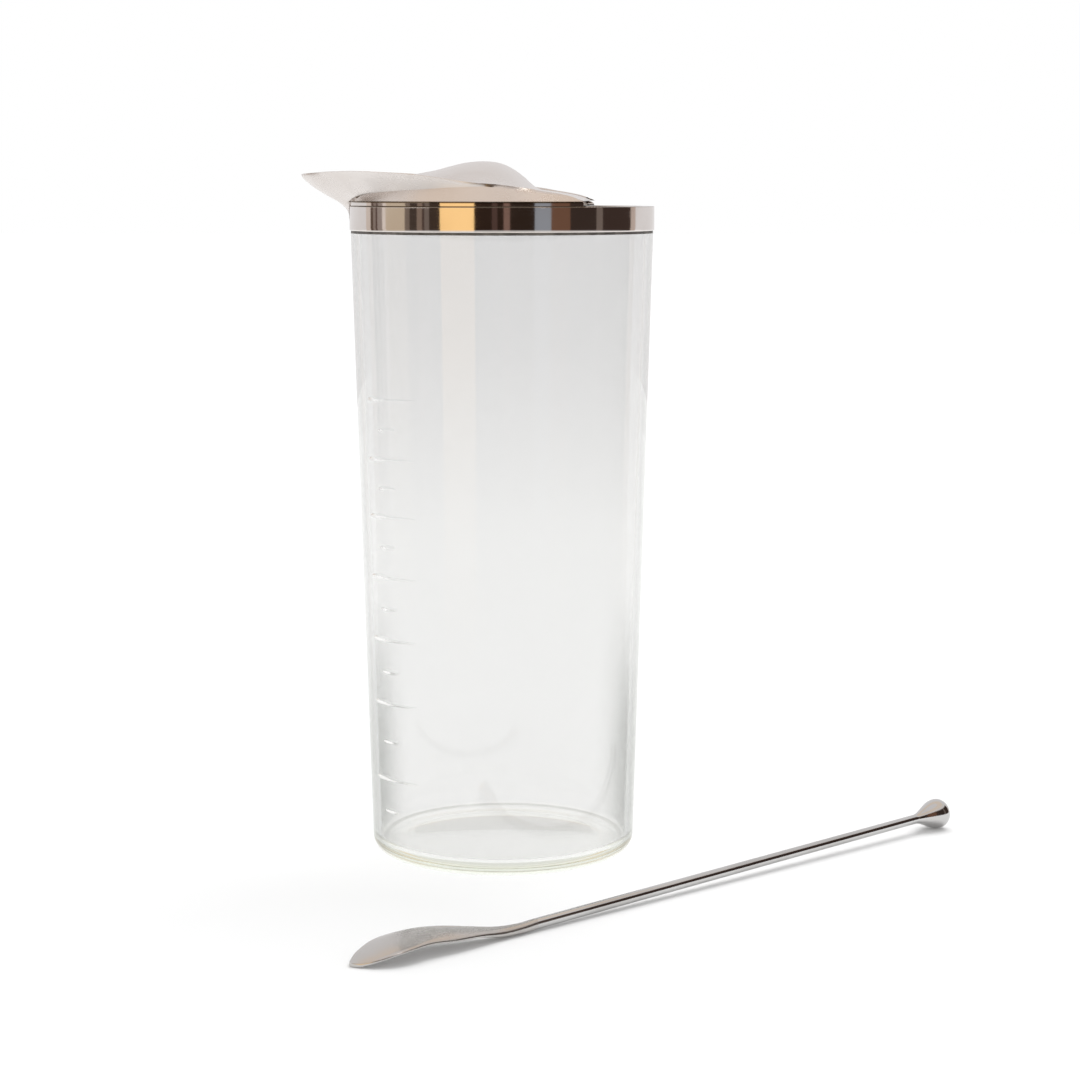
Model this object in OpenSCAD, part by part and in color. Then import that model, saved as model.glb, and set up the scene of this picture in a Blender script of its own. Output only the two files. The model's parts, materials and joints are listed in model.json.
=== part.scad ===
// Cocktail pitcher: tapered measuring glass, cemented metal collar, lift-off spouted cover
// with an ice guard, and a long stirring spoon lying in front. Millimetres, +Z up.
// The origin is on the table in the middle of the glass, and the spout points to -X.

/* [Glass] */
// Outside diameter of the glass at the table, before its lower corner is rounded
base_d = 91.2; // [85:0.2:97]
// Outside diameter that the taper of the glass reaches at its rim
mouth_d = 104; // [98:0.5:110]
// Height of the glass
glass_h = 223.2; // [200:0.2:250]
// Thickness of the glass wall
wall_t = 2.8; // [2.6:0.1:3.4]
// Thickness of the glass bottom
floor_t = 5; // [4:0.5:9]
// Rounding of the lower outside corner
foot_round = 6; // [4:0.5:8]
// Rounding of the corner between the wall and the bottom inside
heel_round = 3; // [2:0.5:8]
// Width of the hollow in the underside
kick_d = 68; // [50:1:68]
// Depth of the hollow in the underside
kick_h = 2; // [1.5:0.1:3]

/* [Measure marks] */
// Direction of the marks, turned from the viewer towards the spout
marks_angle = 50.5; // [20:0.5:70]
// Further turn of the lowest marks, so that the column stands plumb on the tapered wall
marks_lean_angle = 4; // [0:0.5:8]
// Slant of each mark, as the wheel has cut it
mark_slant_angle = 2; // [0:0.5:4]
// Depth of a mark at its middle
mark_depth = 0.3; // [0.2:0.05:1]
// Width of a mark at its middle
mark_w = 1.7; // [1:0.1:2.4]
// Length of a short mark
short_mark_l = 9.4; // [8:0.2:13]
// Length of the fine line that makes a long mark
long_mark_l = 25.5; // [18:0.5:30]
// Shift of the long marks towards the viewer, from the middle of the short ones
long_mark_shift = 1.5; // [0:0.1:4]

/* [Collar] */
// Height of the polished band
band_h = 8.2; // [6:0.1:12]
// Thickness of the collar's sheet
band_t = 0.8; // [0.6:0.1:1]
// Width of the bevel along the band's lower edge
band_bevel = 0.35; // [0.3:0.05:0.7]
// How far the band stands out beyond the taper of the glass
band_proud = 0.1; // [0.05:0.05:0.4]
// Thickness of the cement between the glass and the collar
cement_t = 0.25; // [0.2:0.05:0.4]
// Height of the line of cement that shows below the band
cement_line_h = 0.9; // [0.5:0.1:1.5]

/* [Cover] */
// Thickness of the ring that the cover stands on
rim_t = 1.6; // [1.2:0.1:2.5]
// Angle from the spout to each end of the ring
cover_angle = 125.5; // [115:0.5:130]
// Angle by which the loose cover is turned away from the viewer
cover_turn_angle = 3.5; // [0:0.5:10]
// Thickness of the cover's sheet
shell_t = 1.1; // [0.8:0.1:1.4]
// Height of the shoulder above the ring, where it is highest
shoulder_h = 5; // [3:0.1:6]
// Height of the pouring lip above the ring, where it is highest
lip_h = 9.8; // [8:0.1:13]
// How far the root of the beak stands out beyond the shoulder's foot
root_reach = 5.4; // [4:0.1:7]
// How far the lip flares out beyond the root at the tip of the beak
lip_flare = 12.4; // [8:0.1:16]
// How far the beak's root runs down over the collar
tongue_drop = 5.4; // [3:0.1:6]
// Half of the angle that the beak's root covers on the collar
tongue_angle = 10.4; // [8:0.2:14]
// Height of the ice guard's hump above the ring
hump_h = 13.5; // [9:0.1:16]
// Thickness of the ice guard
guard_t = 0.9; // [0.7:0.1:1.2]
// Width of the pouring slot at its middle
slot_w = 6.2; // [5:0.1:8]
// How far the sleeve reaches down into the collar
sleeve_h = 6; // [4:0.5:7]

/* [Spoon] */
// Length of the spoon from the tip of its bowl to the end of its knob
spoon_l = 267.5; // [230:0.5:300]
// Diameter of the stem beside the bowl
stem_d = 3.6; // [3.2:0.1:5]
// Diameter of the stem beside the knob
stem_end_d = 3.4; // [3:0.1:5]
// Diameter of the knob
knob_d = 10.6; // [8:0.1:13]
// Length of the knob with its flare
knob_l = 17; // [14:0.5:24]
// Length of the bowl with its neck
bowl_l = 66.5; // [50:1:80]
// Width of the bowl
bowl_w = 16.4; // [12:0.2:22]
// Height of the bowl's arch above the table
bowl_arch = 6; // [4:0.1:9]
// Thickness of the bowl's sheet
bowl_t = 1.2; // [1:0.1:1.6]
// Direction of the spoon, turned from +X
spoon_angle = 42.2; // [30:0.1:55]
// Place of the knob's middle along X
knob_x = 157.2; // [130:0.2:190]
// Place of the knob's middle along Y
knob_y = 26.5; // [10:0.5:60]

/* [Hidden] */

// Facets of round pieces
round_fn = 128;
// Steps along a rounded corner
arc_steps = 8;
// Clearance between cemented pieces, and between pieces that are soldered face to face
joint_gap = 0.02;
// Gap between the cover's ring and the collar that it rests on
seat_gap = 0.1;
// Radial clearance of the sleeve in the collar
sleeve_fit = 0.08;
// Clearance between the beak's root and the outside of the collar
tongue_gap = 0.12;

// Glass
base_r = base_d / 2;
mouth_r = mouth_d / 2;
taper = (mouth_r - base_r) / glass_h;
kick_r = kick_d / 2;
function outer_r(z) = base_r + taper * z;
function inner_r(z) = outer_r(z) - wall_t;
// Heights of the long marks, lowest first, and of the lowest short mark, as shares of glass_h
long_mark_shares = [0.135, 0.254, 0.353, 0.449, 0.542, 0.629, 0.719];
low_mark_share = 0.085;
// Length of the bold end of a long mark as a share of a short mark's
bold_share = 1.2;
// Depth and width of the fine line of a long mark as a share of a short mark's
fine_line_share = 0.5;
long_marks = len(long_mark_shares);
function long_mark_z(k) = glass_h * long_mark_shares[k];
function short_mark_z(k) =
    k == 0 ? glass_h * low_mark_share : (long_mark_z(k - 1) + long_mark_z(k)) / 2;
function mark_turn(z) = -90 - marks_angle - marks_lean_angle * (1 - z / long_mark_z(long_marks - 1));
function arc(cx, cz, r, a0, a1) =
    [for (k = [0 : arc_steps]) let (a = a0 + (a1 - a0) * k / arc_steps) [cx + r * cos(a), cz + r * sin(a)]];

// Collar, cement and the neck that is cut into the rim of the glass for them
collar_or = mouth_r + band_proud;
collar_ir = collar_or - band_t;
neck_r = collar_ir - cement_t;
collar_top = glass_h + cement_t * 2 + band_t;
band_z = collar_top - band_h;
neck_z = band_z - cement_line_h;
skirt_z = band_z + band_t;
skirt_or = inner_r(skirt_z) - cement_t;
skirt_ir = skirt_or - band_t;
// Rounding of the collar's edges, as a share of its sheet
band_round_share = 0.4;
band_round = band_t * band_round_share;
// How far the line of cement stays inside the surface of the glass, as a share of the cement
cement_inset_share = 0.5;
cement_inset = cement_t * cement_inset_share;

// Cover
rim_z = collar_top + seat_gap;
rim_top = rim_z + rim_t;
// How far the ring stays inside the band's edge, as a share of the collar's sheet
rim_inset_share = 0.25;
rim_or = collar_or - band_t * rim_inset_share;
sleeve_or = skirt_ir - sleeve_fit;
sleeve_t = band_t;
rim_ir = sleeve_or - sleeve_t;
// Rounding of the ring's outer edges as a share of its thickness
rim_round_share = 0.14;
rim_round = rim_t * rim_round_share;
// How far inside the ring's edge the shell's foot stands, as a share of the sheet
foot_inset_share = 0.6;
foot_r = rim_or - shell_t * foot_inset_share;
// Inward lean of the shoulder for each unit of its height
shoulder_lean_share = 0.61;
// Angle at which the shoulder starts, and over which the beak's root fades into it, from the
// angle that the root covers
shoulder_start_share = 1.55;
shoulder_angle = tongue_angle * shoulder_start_share;
// Thickness of the lower edge of the beak's root, as a share of the sheet
feather_share = 0.2;
feather_t = shell_t * feather_share;
// Rows of the shell on its shoulder and on its flare, and columns on its root and beyond
shoulder_rows = 4;
flare_rows = 7;
root_columns = 6;
side_columns = 24;

// Shape of the cover round the ring: angle from the spout, then lip height, lip flare and
// shoulder height as shares of lip_h, lip_flare and shoulder_h
wave_shares = [
    [0, 0.91, 1, 0],
    [8, 0.95, 1, 0],
    [16, 0.98, 0.9, 0.02],
    [23, 0.99, 0.7, 0.27],
    [31, 1, 0.52, 0.39],
    [45, 0.96, 0.3, 0.58],
    [60, 0.87, 0.175, 0.76],
    [70, 0.755, 0.105, 0.88],
    [80, 0.63, 0.045, 0.96],
    [90, 0.52, 0.012, 1],
    [98, 0.42, 0.01, 0.83],
    [108, 0.32, 0, 0.64],
    [118, 0.18, 0, 0.34],
    [123.5, 0.06, 0, 0.09]
];

// Height of the hump along its middle: place along X as a share of mouth_r, height as a share
// of hump_h
crest_shares = [
    [-0.82, 0.44],
    [-0.65, 0.615],
    [-0.54, 0.7],
    [-0.435, 0.775],
    [-0.327, 0.885],
    [-0.231, 0.968],
    [-0.11, 1],
    [-0.013, 0.955],
    [0.065, 0.825],
    [0.142, 0.61],
    [0.198, 0.39],
    [0.252, 0.28],
    [0.346, 0.2],
    [0.48, 0.1],
    [0.6, 0.05]
];

// Smooth curve through the rows of a table: column c of table t at x
function slope(t, c, k) =
    k == 0 ? (t[1][c] - t[0][c]) / (t[1][0] - t[0][0])
    : k == len(t) - 1 ? (t[k][c] - t[k - 1][c]) / (t[k][0] - t[k - 1][0])
    : (t[k + 1][c] - t[k - 1][c]) / (t[k + 1][0] - t[k - 1][0]);
function row_of(t, x, k = 0) = k >= len(t) - 2 || x < t[k + 1][0] ? k : row_of(t, x, k + 1);
function hermite(a, b, ma, mb, w, u) =
    a * (1 + 2 * u) * (1 - u) * (1 - u) + ma * w * u * (1 - u) * (1 - u)
    + b * u * u * (3 - 2 * u) + mb * w * u * u * (u - 1);
function curve(t, c, x) =
    let (k = row_of(t, x), w = t[k + 1][0] - t[k][0], u = min(1, max(0, (x - t[k][0]) / w)))
    hermite(t[k][c], t[k + 1][c], slope(t, c, k), slope(t, c, k + 1), w, u);

// Angles of the table follow the end of the ring
wave_end_angle = wave_shares[len(wave_shares) - 1][0];
function wave(c, a) = curve(wave_shares, c, a * wave_end_angle / cover_angle);
function shoulder_top(a) = shoulder_h * max(0, wave(3, a));
function fade(a, from_a, to_a) = (1 + cos(180 * min(1, max(0, (a - from_a) / (to_a - from_a))))) / 2;
function crease_r(a) =
    foot_r + root_reach * fade(a, 0, shoulder_angle) - shoulder_lean_share * shoulder_top(a);
function crease_z(a) = rim_top + shoulder_top(a);
function lip_r(a) = crease_r(a) + lip_flare * max(0, wave(2, a));
// Least height of the flare as a share of the sheet
least_flare_share = 0.2;
function lip_z(a) = max(rim_top + lip_h * wave(1, a), crease_z(a) + shell_t * least_flare_share);
foot_z = rim_top + joint_gap;
root_z = collar_top - tongue_drop;
root_r = collar_or + tongue_gap + feather_t;
// Lower edge of the shell: on the ring, and round the front a bib that hangs over the collar
function low_r(a) = foot_r + (root_r - foot_r) * fade(a, tongue_angle, shoulder_angle);
function low_z(a) = foot_z - (foot_z - root_z) * sqrt(1 - pow(min(1, a / tongue_angle), 2));
// Shares that shape the sweep of the beak's root, and the curl of the flare, which is full round
// the beak and gone at the sides
root_power_share = 1.6;
flare_curl_share = 0.4;
curl_start_share = 2;
curl_end_share = 6;
function flare_power(a) =
    1 + flare_curl_share * fade(a, tongue_angle * curl_start_share, tongue_angle * curl_end_share);

// Outside of the shell at angle a and row j, as radius and height
function shell_point(a, j) =
    j <= shoulder_rows
    ? let (u = j / shoulder_rows, bend = 1 + root_power_share * fade(a, tongue_angle, shoulder_angle))
        [low_r(a) + (crease_r(a) - low_r(a)) * pow(u, bend), low_z(a) + (crease_z(a) - low_z(a)) * u]
    : let (v = (j - shoulder_rows) / flare_rows)
        [crease_r(a) + (lip_r(a) - crease_r(a)) * (1 - pow(1 - v, flare_power(a))),
            crease_z(a) + (lip_z(a) - crease_z(a)) * v];
shell_rows = shoulder_rows + flare_rows;
function inward(a, j) =
    let (p = shell_point(a, max(0, j - 1)), q = shell_point(a, min(shell_rows, j + 1)), d = q - p)
    [-d[1], d[0]] / max(norm(d), joint_gap);
function inner_point(a, j) =
    let (p = shell_point(a, j) + shell_t * inward(a, j))
    [p[1] < foot_z ? max(p[0], collar_or + tongue_gap) : p[0], max(p[1], low_z(a))];

// Angles of the shell's columns from the spout to one end, closer where the bib's edge is steep
half_columns = concat(
    [for (k = [0 : root_columns]) tongue_angle * sin(90 * k / root_columns)],
    [for (k = [1 : side_columns]) tongue_angle + (cover_angle - tongue_angle) * k / side_columns]);
columns = concat([for (k = [len(half_columns) - 1 : -1 : 1]) -half_columns[k]], half_columns);
function on_ring(a, p) = [-p[0] * cos(a), -p[0] * sin(a), p[1]];

// Ice guard
guard_angle = 50;
guard_rows = 22;
guard_columns = 24;
// How far inside the crease the guard's edge stands, as a share of the sheet
guard_inset_share = 1.06;
function wall_r(a) = crease_r(a) - shell_t * guard_inset_share;
slot_front_x = -(rim_ir - slot_w);
guard_bulge = -slot_front_x - wall_r(guard_angle) * cos(guard_angle);
function bell(v) = (1 - v * v) * (1 - v * v);
function guard_point(k, m) =
    let (u = k / guard_rows, v = 2 * m / guard_columns - 1, a = guard_angle + (cover_angle - guard_angle) * u,
        x = -wall_r(a) * cos(a) - guard_bulge * (1 - v * v) * (1 - u) * (1 - u),
        wall_z = crease_z(a),
        crest_z = rim_top + hump_h * curve(crest_shares, 1, x / mouth_r))
    [x, v * wall_r(a) * sin(a), wall_z + (crest_z - wall_z) * bell(v)];

// Spoon, along its own X axis from the bowl's tip to the knob, on the table
knob_r = knob_d / 2;
// Length of the knob's rounded end as a share of its radius
cap_share = 0.8;
cap_l = knob_r * cap_share;
// How far the stem is raised beside the bowl, as a share of the bowl's sheet
stem_lift_share = 0.25;
stem_lift = stem_d / 2 + bowl_t * stem_lift_share;
stem_x = bowl_l;
stem_end_x = spoon_l - knob_l;
stem_run = stem_end_x - stem_x;
knob_mid_x = spoon_l - cap_l;
stem_tilt_angle = atan((knob_r - stem_lift) / (knob_mid_x - stem_x));
bowl_rows = 26;
bowl_columns = 14;
// Outline of the bowl from its tip to the stem: place as a share of bowl_l, then the middle's
// drift to the far side and half the width as shares of bowl_w, then the height of the middle
// and of the edges as shares of bowl_arch, and how far the section has turned from a sheet into
// the round stem
leaf_shares = [
    [0, 0.53, 0.03, 0.1, 0.1, 0],
    [0.02, 0.498, 0.16, 0.15, 0.12, 0],
    [0.08, 0.434, 0.352, 0.36, 0.2, 0],
    [0.2, 0.39, 0.5, 0.76, 0.38, 0],
    [0.36, 0.398, 0.48, 1.1, 0.6, 0],
    [0.5, 0.297, 0.425, 1.03, 0.66, 0.05],
    [0.64, 0.183, 0.302, 0.7, 0.52, 0.4],
    [0.78, 0.073, 0.183, 0.36, 0.32, 0.9],
    [0.9, 0.009, 0.128, 0.31, 0.31, 0.95],
    [1, 0, 0.11, 0.35, 0.35, 0.95]
];

module glass_blank() {
    rotate_extrude($fn = round_fn)
        polygon(concat(
            [[0, kick_h]],
            [for (k = [1 : arc_steps]) let (u = k / arc_steps) [kick_r * u, kick_h * (1 - u * u)]],
            arc(outer_r(foot_round) - foot_round, foot_round, foot_round, -90, 0),
            [[outer_r(neck_z), neck_z], [neck_r, neck_z]],
            [[neck_r, glass_h], [inner_r(glass_h), glass_h]],
            arc(inner_r(floor_t + heel_round) - heel_round, floor_t + heel_round, heel_round, 0, -90),
            [[0, floor_t]]));
}

// A wheel cut: a V-edged ring whose curve differs from the wall's, so the cut runs out at both ends
module wheel_cut(z, length, depth, width, shift = 0) {
    wall_curve = 1 / outer_r(z);
    cut_curve = wall_curve - 8 * depth / (length * length);
    ring_r = abs(1 / cut_curve);
    // A disc beside the wall where the cut curves against it, and otherwise a hollow ring round it
    disc = cut_curve < 0;
    edge = disc ? ring_r : -ring_r;
    rotate([0, 0, mark_turn(z) - shift / outer_r(z) * 180 / PI])
        translate([outer_r(z) - depth + edge, 0, z])
            rotate([mark_slant_angle, 0, 0])
                rotate_extrude($fn = round_fn)
                    polygon(disc
                        ? [[ring_r, 0], [ring_r - depth * 2, width], [ring_r - depth * 2, -width]]
                        : [[ring_r, 0], [ring_r + depth * 2, width], [ring_r + depth * 2, -width]]);
}

module glass_body() {
    color("lightcyan", 0.4)
        difference() {
            glass_blank();
            for (k = [0 : long_marks - 1]) {
                bold_l = short_mark_l * bold_share;
                wheel_cut(short_mark_z(k), short_mark_l, mark_depth, mark_w);
                bold_shift = (long_mark_l - bold_l) / 2 - long_mark_shift;
                wheel_cut(long_mark_z(k), bold_l, mark_depth, mark_w, bold_shift);
                fine_depth = mark_depth * fine_line_share;
                fine_w = mark_w * fine_line_share;
                wheel_cut(long_mark_z(k), long_mark_l, fine_depth, fine_w, -long_mark_shift);
            }
        }
}

module rim_seal() {
    line_r = outer_r(neck_z) - cement_inset;
    color("dimgray")
        rotate_extrude($fn = round_fn)
            polygon([
                [neck_r + joint_gap, neck_z + joint_gap],
                [line_r, neck_z + joint_gap],
                [line_r, band_z - joint_gap],
                [collar_ir - joint_gap, band_z - joint_gap],
                [collar_ir - joint_gap, collar_top - band_t - joint_gap],
                [skirt_or + joint_gap, collar_top - band_t - joint_gap],
                [skirt_or + joint_gap, glass_h + joint_gap],
                [neck_r + joint_gap, glass_h + joint_gap]
            ]);
}

module collar() {
    color("silver")
        rotate_extrude($fn = round_fn)
            polygon(concat(
                [[collar_ir, collar_top - band_t], [collar_ir, band_z]],
                [[collar_or - band_bevel, band_z], [collar_or, band_z + band_bevel]],
                arc(collar_or - band_round, collar_top - band_round, band_round, 0, 90),
                arc(skirt_ir + band_round, collar_top - band_round, band_round, 90, 180),
                [[skirt_ir, skirt_z], [skirt_or, skirt_z], [skirt_or, collar_top - band_t]]));
}

// Stands the cover as it is turned on the collar
module cover_place() {
    rotate([0, 0, -cover_turn_angle])
        children();
}

// Turns a section on the cover's side of the pitcher, from one end of the ring to the other
module cover_sweep(half_a) {
    rotate([0, 0, 180 - half_a])
        rotate_extrude(angle = 2 * half_a, $fn = round_fn)
            children();
}

module cover_rim() {
    color("silver")
        cover_place()
            cover_sweep(cover_angle)
                polygon(concat(
                [[rim_ir, rim_z]],
                arc(rim_or - rim_round, rim_z + rim_round, rim_round, -90, 0),
                arc(rim_or - rim_round, rim_top - rim_round, rim_round, 0, 90),
                [[rim_ir, rim_top]]));
}

module cover_sleeve() {
    color("silver")
        cover_place()
            cover_sweep(cover_angle - asin(rim_t / sleeve_or))
                translate([sleeve_or - sleeve_t, rim_z - joint_gap - sleeve_h])
                    square([sleeve_t, sleeve_h]);
}

// Closed sheet between two grids of points, top and bottom, each with rows of n points
module sheet(top, bottom, rows, n) {
    size = rows * n;
    function at(k, m, side) = k * n + m + side * size;
    polyhedron(
        points = concat(top, bottom),
        faces = concat(
            [for (k = [0 : rows - 2], m = [0 : n - 2]) each
                [[at(k, m, 0), at(k, m + 1, 0), at(k + 1, m + 1, 0)],
                    [at(k, m, 0), at(k + 1, m + 1, 0), at(k + 1, m, 0)],
                    [at(k, m, 1), at(k + 1, m + 1, 1), at(k, m + 1, 1)],
                    [at(k, m, 1), at(k + 1, m, 1), at(k + 1, m + 1, 1)]]],
            [for (m = [0 : n - 2]) each
                [[at(0, m, 0), at(0, m, 1), at(0, m + 1, 1)],
                    [at(0, m, 0), at(0, m + 1, 1), at(0, m + 1, 0)],
                    [at(rows - 1, m, 0), at(rows - 1, m + 1, 1), at(rows - 1, m, 1)],
                    [at(rows - 1, m, 0), at(rows - 1, m + 1, 0), at(rows - 1, m + 1, 1)]]],
            [for (k = [0 : rows - 2]) each
                [[at(k, 0, 0), at(k + 1, 0, 1), at(k, 0, 1)],
                    [at(k, 0, 0), at(k + 1, 0, 0), at(k + 1, 0, 1)],
                    [at(k, n - 1, 0), at(k, n - 1, 1), at(k + 1, n - 1, 1)],
                    [at(k, n - 1, 0), at(k + 1, n - 1, 1), at(k + 1, n - 1, 0)]]]),
        convexity = 10);
}

module cover_shell() {
    top = [for (a = columns, j = [0 : shell_rows]) on_ring(a, shell_point(abs(a), j))];
    bottom = [for (a = columns, j = [0 : shell_rows]) on_ring(a, inner_point(abs(a), j))];
    color("gainsboro")
        cover_place()
            sheet(top, bottom, len(columns), shell_rows + 1);
}

module ice_guard() {
    top = [for (k = [0 : guard_rows], m = [0 : guard_columns]) guard_point(k, m)];
    bottom = [for (p = top) [p[0], p[1], max(p[2] - guard_t, rim_top + joint_gap)]];
    color("gainsboro")
        cover_place()
            sheet(bottom, top, guard_rows + 1, guard_columns + 1);
}

// Places the spoon with its knob's middle over (knob_x, knob_y)
module spoon_place() {
    translate([knob_x, knob_y, 0])
        rotate([0, 0, spoon_angle])
            translate([-knob_mid_x, 0, 0])
                children();
}

// Lays a turned piece along the spoon's axis, from x on
module along_stem(x) {
    translate([stem_x, 0, stem_lift])
        rotate([0, 90 - stem_tilt_angle, 0])
            translate([0, 0, x - stem_x])
                children();
}

module spoon_bowl() {
    function leaf(c, u) = curve(leaf_shares, c, u);
    function leaf_point(k, m, side) =
        let (u = k / bowl_rows, a = 180 * m / bowl_columns, round_share = leaf(5, u),
            edge_z = bowl_arch * leaf(4, u),
            dome = (bowl_arch * leaf(3, u) - edge_z) * sin(a) * sin(a),
            half_t = (bowl_t + (stem_d * sin(a) - bowl_t) * round_share) / 2)
        [bowl_l * u, bowl_w * (leaf(1, u) - cos(a) * leaf(2, u)), edge_z + dome + side * half_t];
    top = [for (k = [0 : bowl_rows], m = [0 : bowl_columns]) leaf_point(k, m, 1)];
    bottom = [for (k = [0 : bowl_rows], m = [0 : bowl_columns]) leaf_point(k, m, -1)];
    color("silver")
        spoon_place()
            sheet(bottom, top, bowl_rows + 1, bowl_columns + 1);
}

module spoon_stem() {
    color("silver")
        spoon_place()
            along_stem(stem_x)
                cylinder(h = stem_run, d1 = stem_d, d2 = stem_end_d, $fn = round_fn);
}

module spoon_knob() {
    flare_l = knob_l - cap_l;
    stem_r = stem_end_d / 2;
    color("silver")
        spoon_place()
            along_stem(stem_end_x)
                rotate_extrude($fn = round_fn)
                    polygon(concat(
                        [[0, 0]],
                        [for (k = [0 : arc_steps]) let (u = k / arc_steps)
                            [stem_r + (knob_r - stem_r) * (3 - 2 * u) * u * u, flare_l * u]],
                        [for (k = [1 : arc_steps]) let (a = 90 * k / arc_steps)
                            [knob_r * cos(a), flare_l + cap_l * sin(a)]]));
}

glass_body();
rim_seal();
collar();
cover_rim();
cover_sleeve();
cover_shell();
ice_guard();
spoon_bowl();
spoon_stem();
spoon_knob();
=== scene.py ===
"""Finish and studio of the cocktail pitcher: glass, collar, spouted cover and stirring spoon.

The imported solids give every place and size. Pieces whose curved sheet or clear wall shows better
on a finer mesh are built again here from the same named sizes, in millimetres, and then scaled
to the metres of the shared frame. +Z is up and the spout points to -X.
"""

from __future__ import annotations

import json
import logging
import math
from dataclasses import dataclass, field
from enum import Enum
from typing import Iterable

import bmesh
import bpy
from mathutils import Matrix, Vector

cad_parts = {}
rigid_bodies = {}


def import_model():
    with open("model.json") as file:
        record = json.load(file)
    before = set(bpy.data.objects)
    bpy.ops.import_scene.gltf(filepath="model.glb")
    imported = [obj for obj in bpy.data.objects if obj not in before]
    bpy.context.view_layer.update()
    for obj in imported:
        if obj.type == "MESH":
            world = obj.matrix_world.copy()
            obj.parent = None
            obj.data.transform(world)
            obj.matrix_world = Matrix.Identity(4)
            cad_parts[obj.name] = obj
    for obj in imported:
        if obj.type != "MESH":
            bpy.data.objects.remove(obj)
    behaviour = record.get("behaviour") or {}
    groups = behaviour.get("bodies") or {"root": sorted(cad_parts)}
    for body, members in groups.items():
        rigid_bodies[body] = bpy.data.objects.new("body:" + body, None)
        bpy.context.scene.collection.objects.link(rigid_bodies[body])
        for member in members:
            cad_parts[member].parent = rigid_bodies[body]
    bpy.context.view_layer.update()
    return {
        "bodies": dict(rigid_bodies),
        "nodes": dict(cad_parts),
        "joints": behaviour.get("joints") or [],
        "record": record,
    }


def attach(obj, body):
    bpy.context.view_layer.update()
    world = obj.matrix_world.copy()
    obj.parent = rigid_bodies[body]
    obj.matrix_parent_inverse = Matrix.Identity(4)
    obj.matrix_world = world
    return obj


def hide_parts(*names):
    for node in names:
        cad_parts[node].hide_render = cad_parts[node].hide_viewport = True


LOG = logging.getLogger("pitcher")
MM = 0.001

Point = tuple[float, float, float]
Section = list[tuple[float, float]]
Colour = tuple[float, float, float]
Span = tuple[float, float]
Table = list[tuple[float, ...]]


class Body(Enum):
    """The bodies that pieces ride on."""

    PITCHER = "pitcher"
    COVER = "cover"
    SPOON = "spoon"


class Slot(Enum):
    """The record's material slots."""

    GLASS = "clear_glass"
    CEMENT = "cement"
    SILVER = "polished_silver"
    STEEL = "polished_steel"


class Flow(Enum):
    """The way in which a finish's polishing lines run."""

    ROUND = "round"
    ALONG = "along"


def sind(angle: float) -> float:
    """Sine of an angle in degrees."""
    return math.sin(math.radians(angle))


def cosd(angle: float) -> float:
    """Cosine of an angle in degrees."""
    return math.cos(math.radians(angle))


def slope(table: Table, column: int, row: int) -> float:
    """Slope of a table's smooth curve at one of its rows.

    Args:
        table: rows that start with the place along the curve.
        column: the column that holds the curve's value.
        row: the row's number.

    Returns:
        The change of the value for each unit of place.
    """
    low, high = max(row - 1, 0), min(row + 1, len(table) - 1)
    return (table[high][column] - table[low][column]) / (table[high][0] - table[low][0])


def curve(table: Table, column: int, place: float) -> float:
    """Value of the smooth curve through the rows of a table.

    Args:
        table: rows that start with the place along the curve.
        column: the column that holds the curve's value.
        place: where the value is wanted.

    Returns:
        The value there, held level beyond both ends.
    """
    row = 0
    while row < len(table) - 2 and place >= table[row + 1][0]:
        row += 1
    (start, end) = (table[row], table[row + 1])
    width = end[0] - start[0]
    u = min(1.0, max(0.0, (place - start[0]) / width))
    return (
        start[column] * (1 + 2 * u) * (1 - u) ** 2
        + slope(table, column, row) * width * u * (1 - u) ** 2
        + end[column] * u * u * (3 - 2 * u)
        + slope(table, column, row + 1) * width * u * u * (u - 1)
    )


def fade(angle: float, start: float, end: float) -> float:
    """Falls smoothly from 1 at start to 0 at end."""
    return (1 + cosd(180 * min(1.0, max(0.0, (angle - start) / (end - start))))) / 2


def corner(
    centre: tuple[float, float], radius: float, start: float, end: float, steps: int = 10
) -> Section:
    """Points of a rounded corner of a section.

    Args:
        centre: middle of the rounding, as radius and height.
        radius: radius of the rounding.
        start: angle of its first point.
        end: angle of its last point.
        steps: number of facets.

    Returns:
        The points in order.
    """
    angles = [start + (end - start) * k / steps for k in range(steps + 1)]
    return [(centre[0] + radius * cosd(a), centre[1] + radius * sind(a)) for a in angles]


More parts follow.
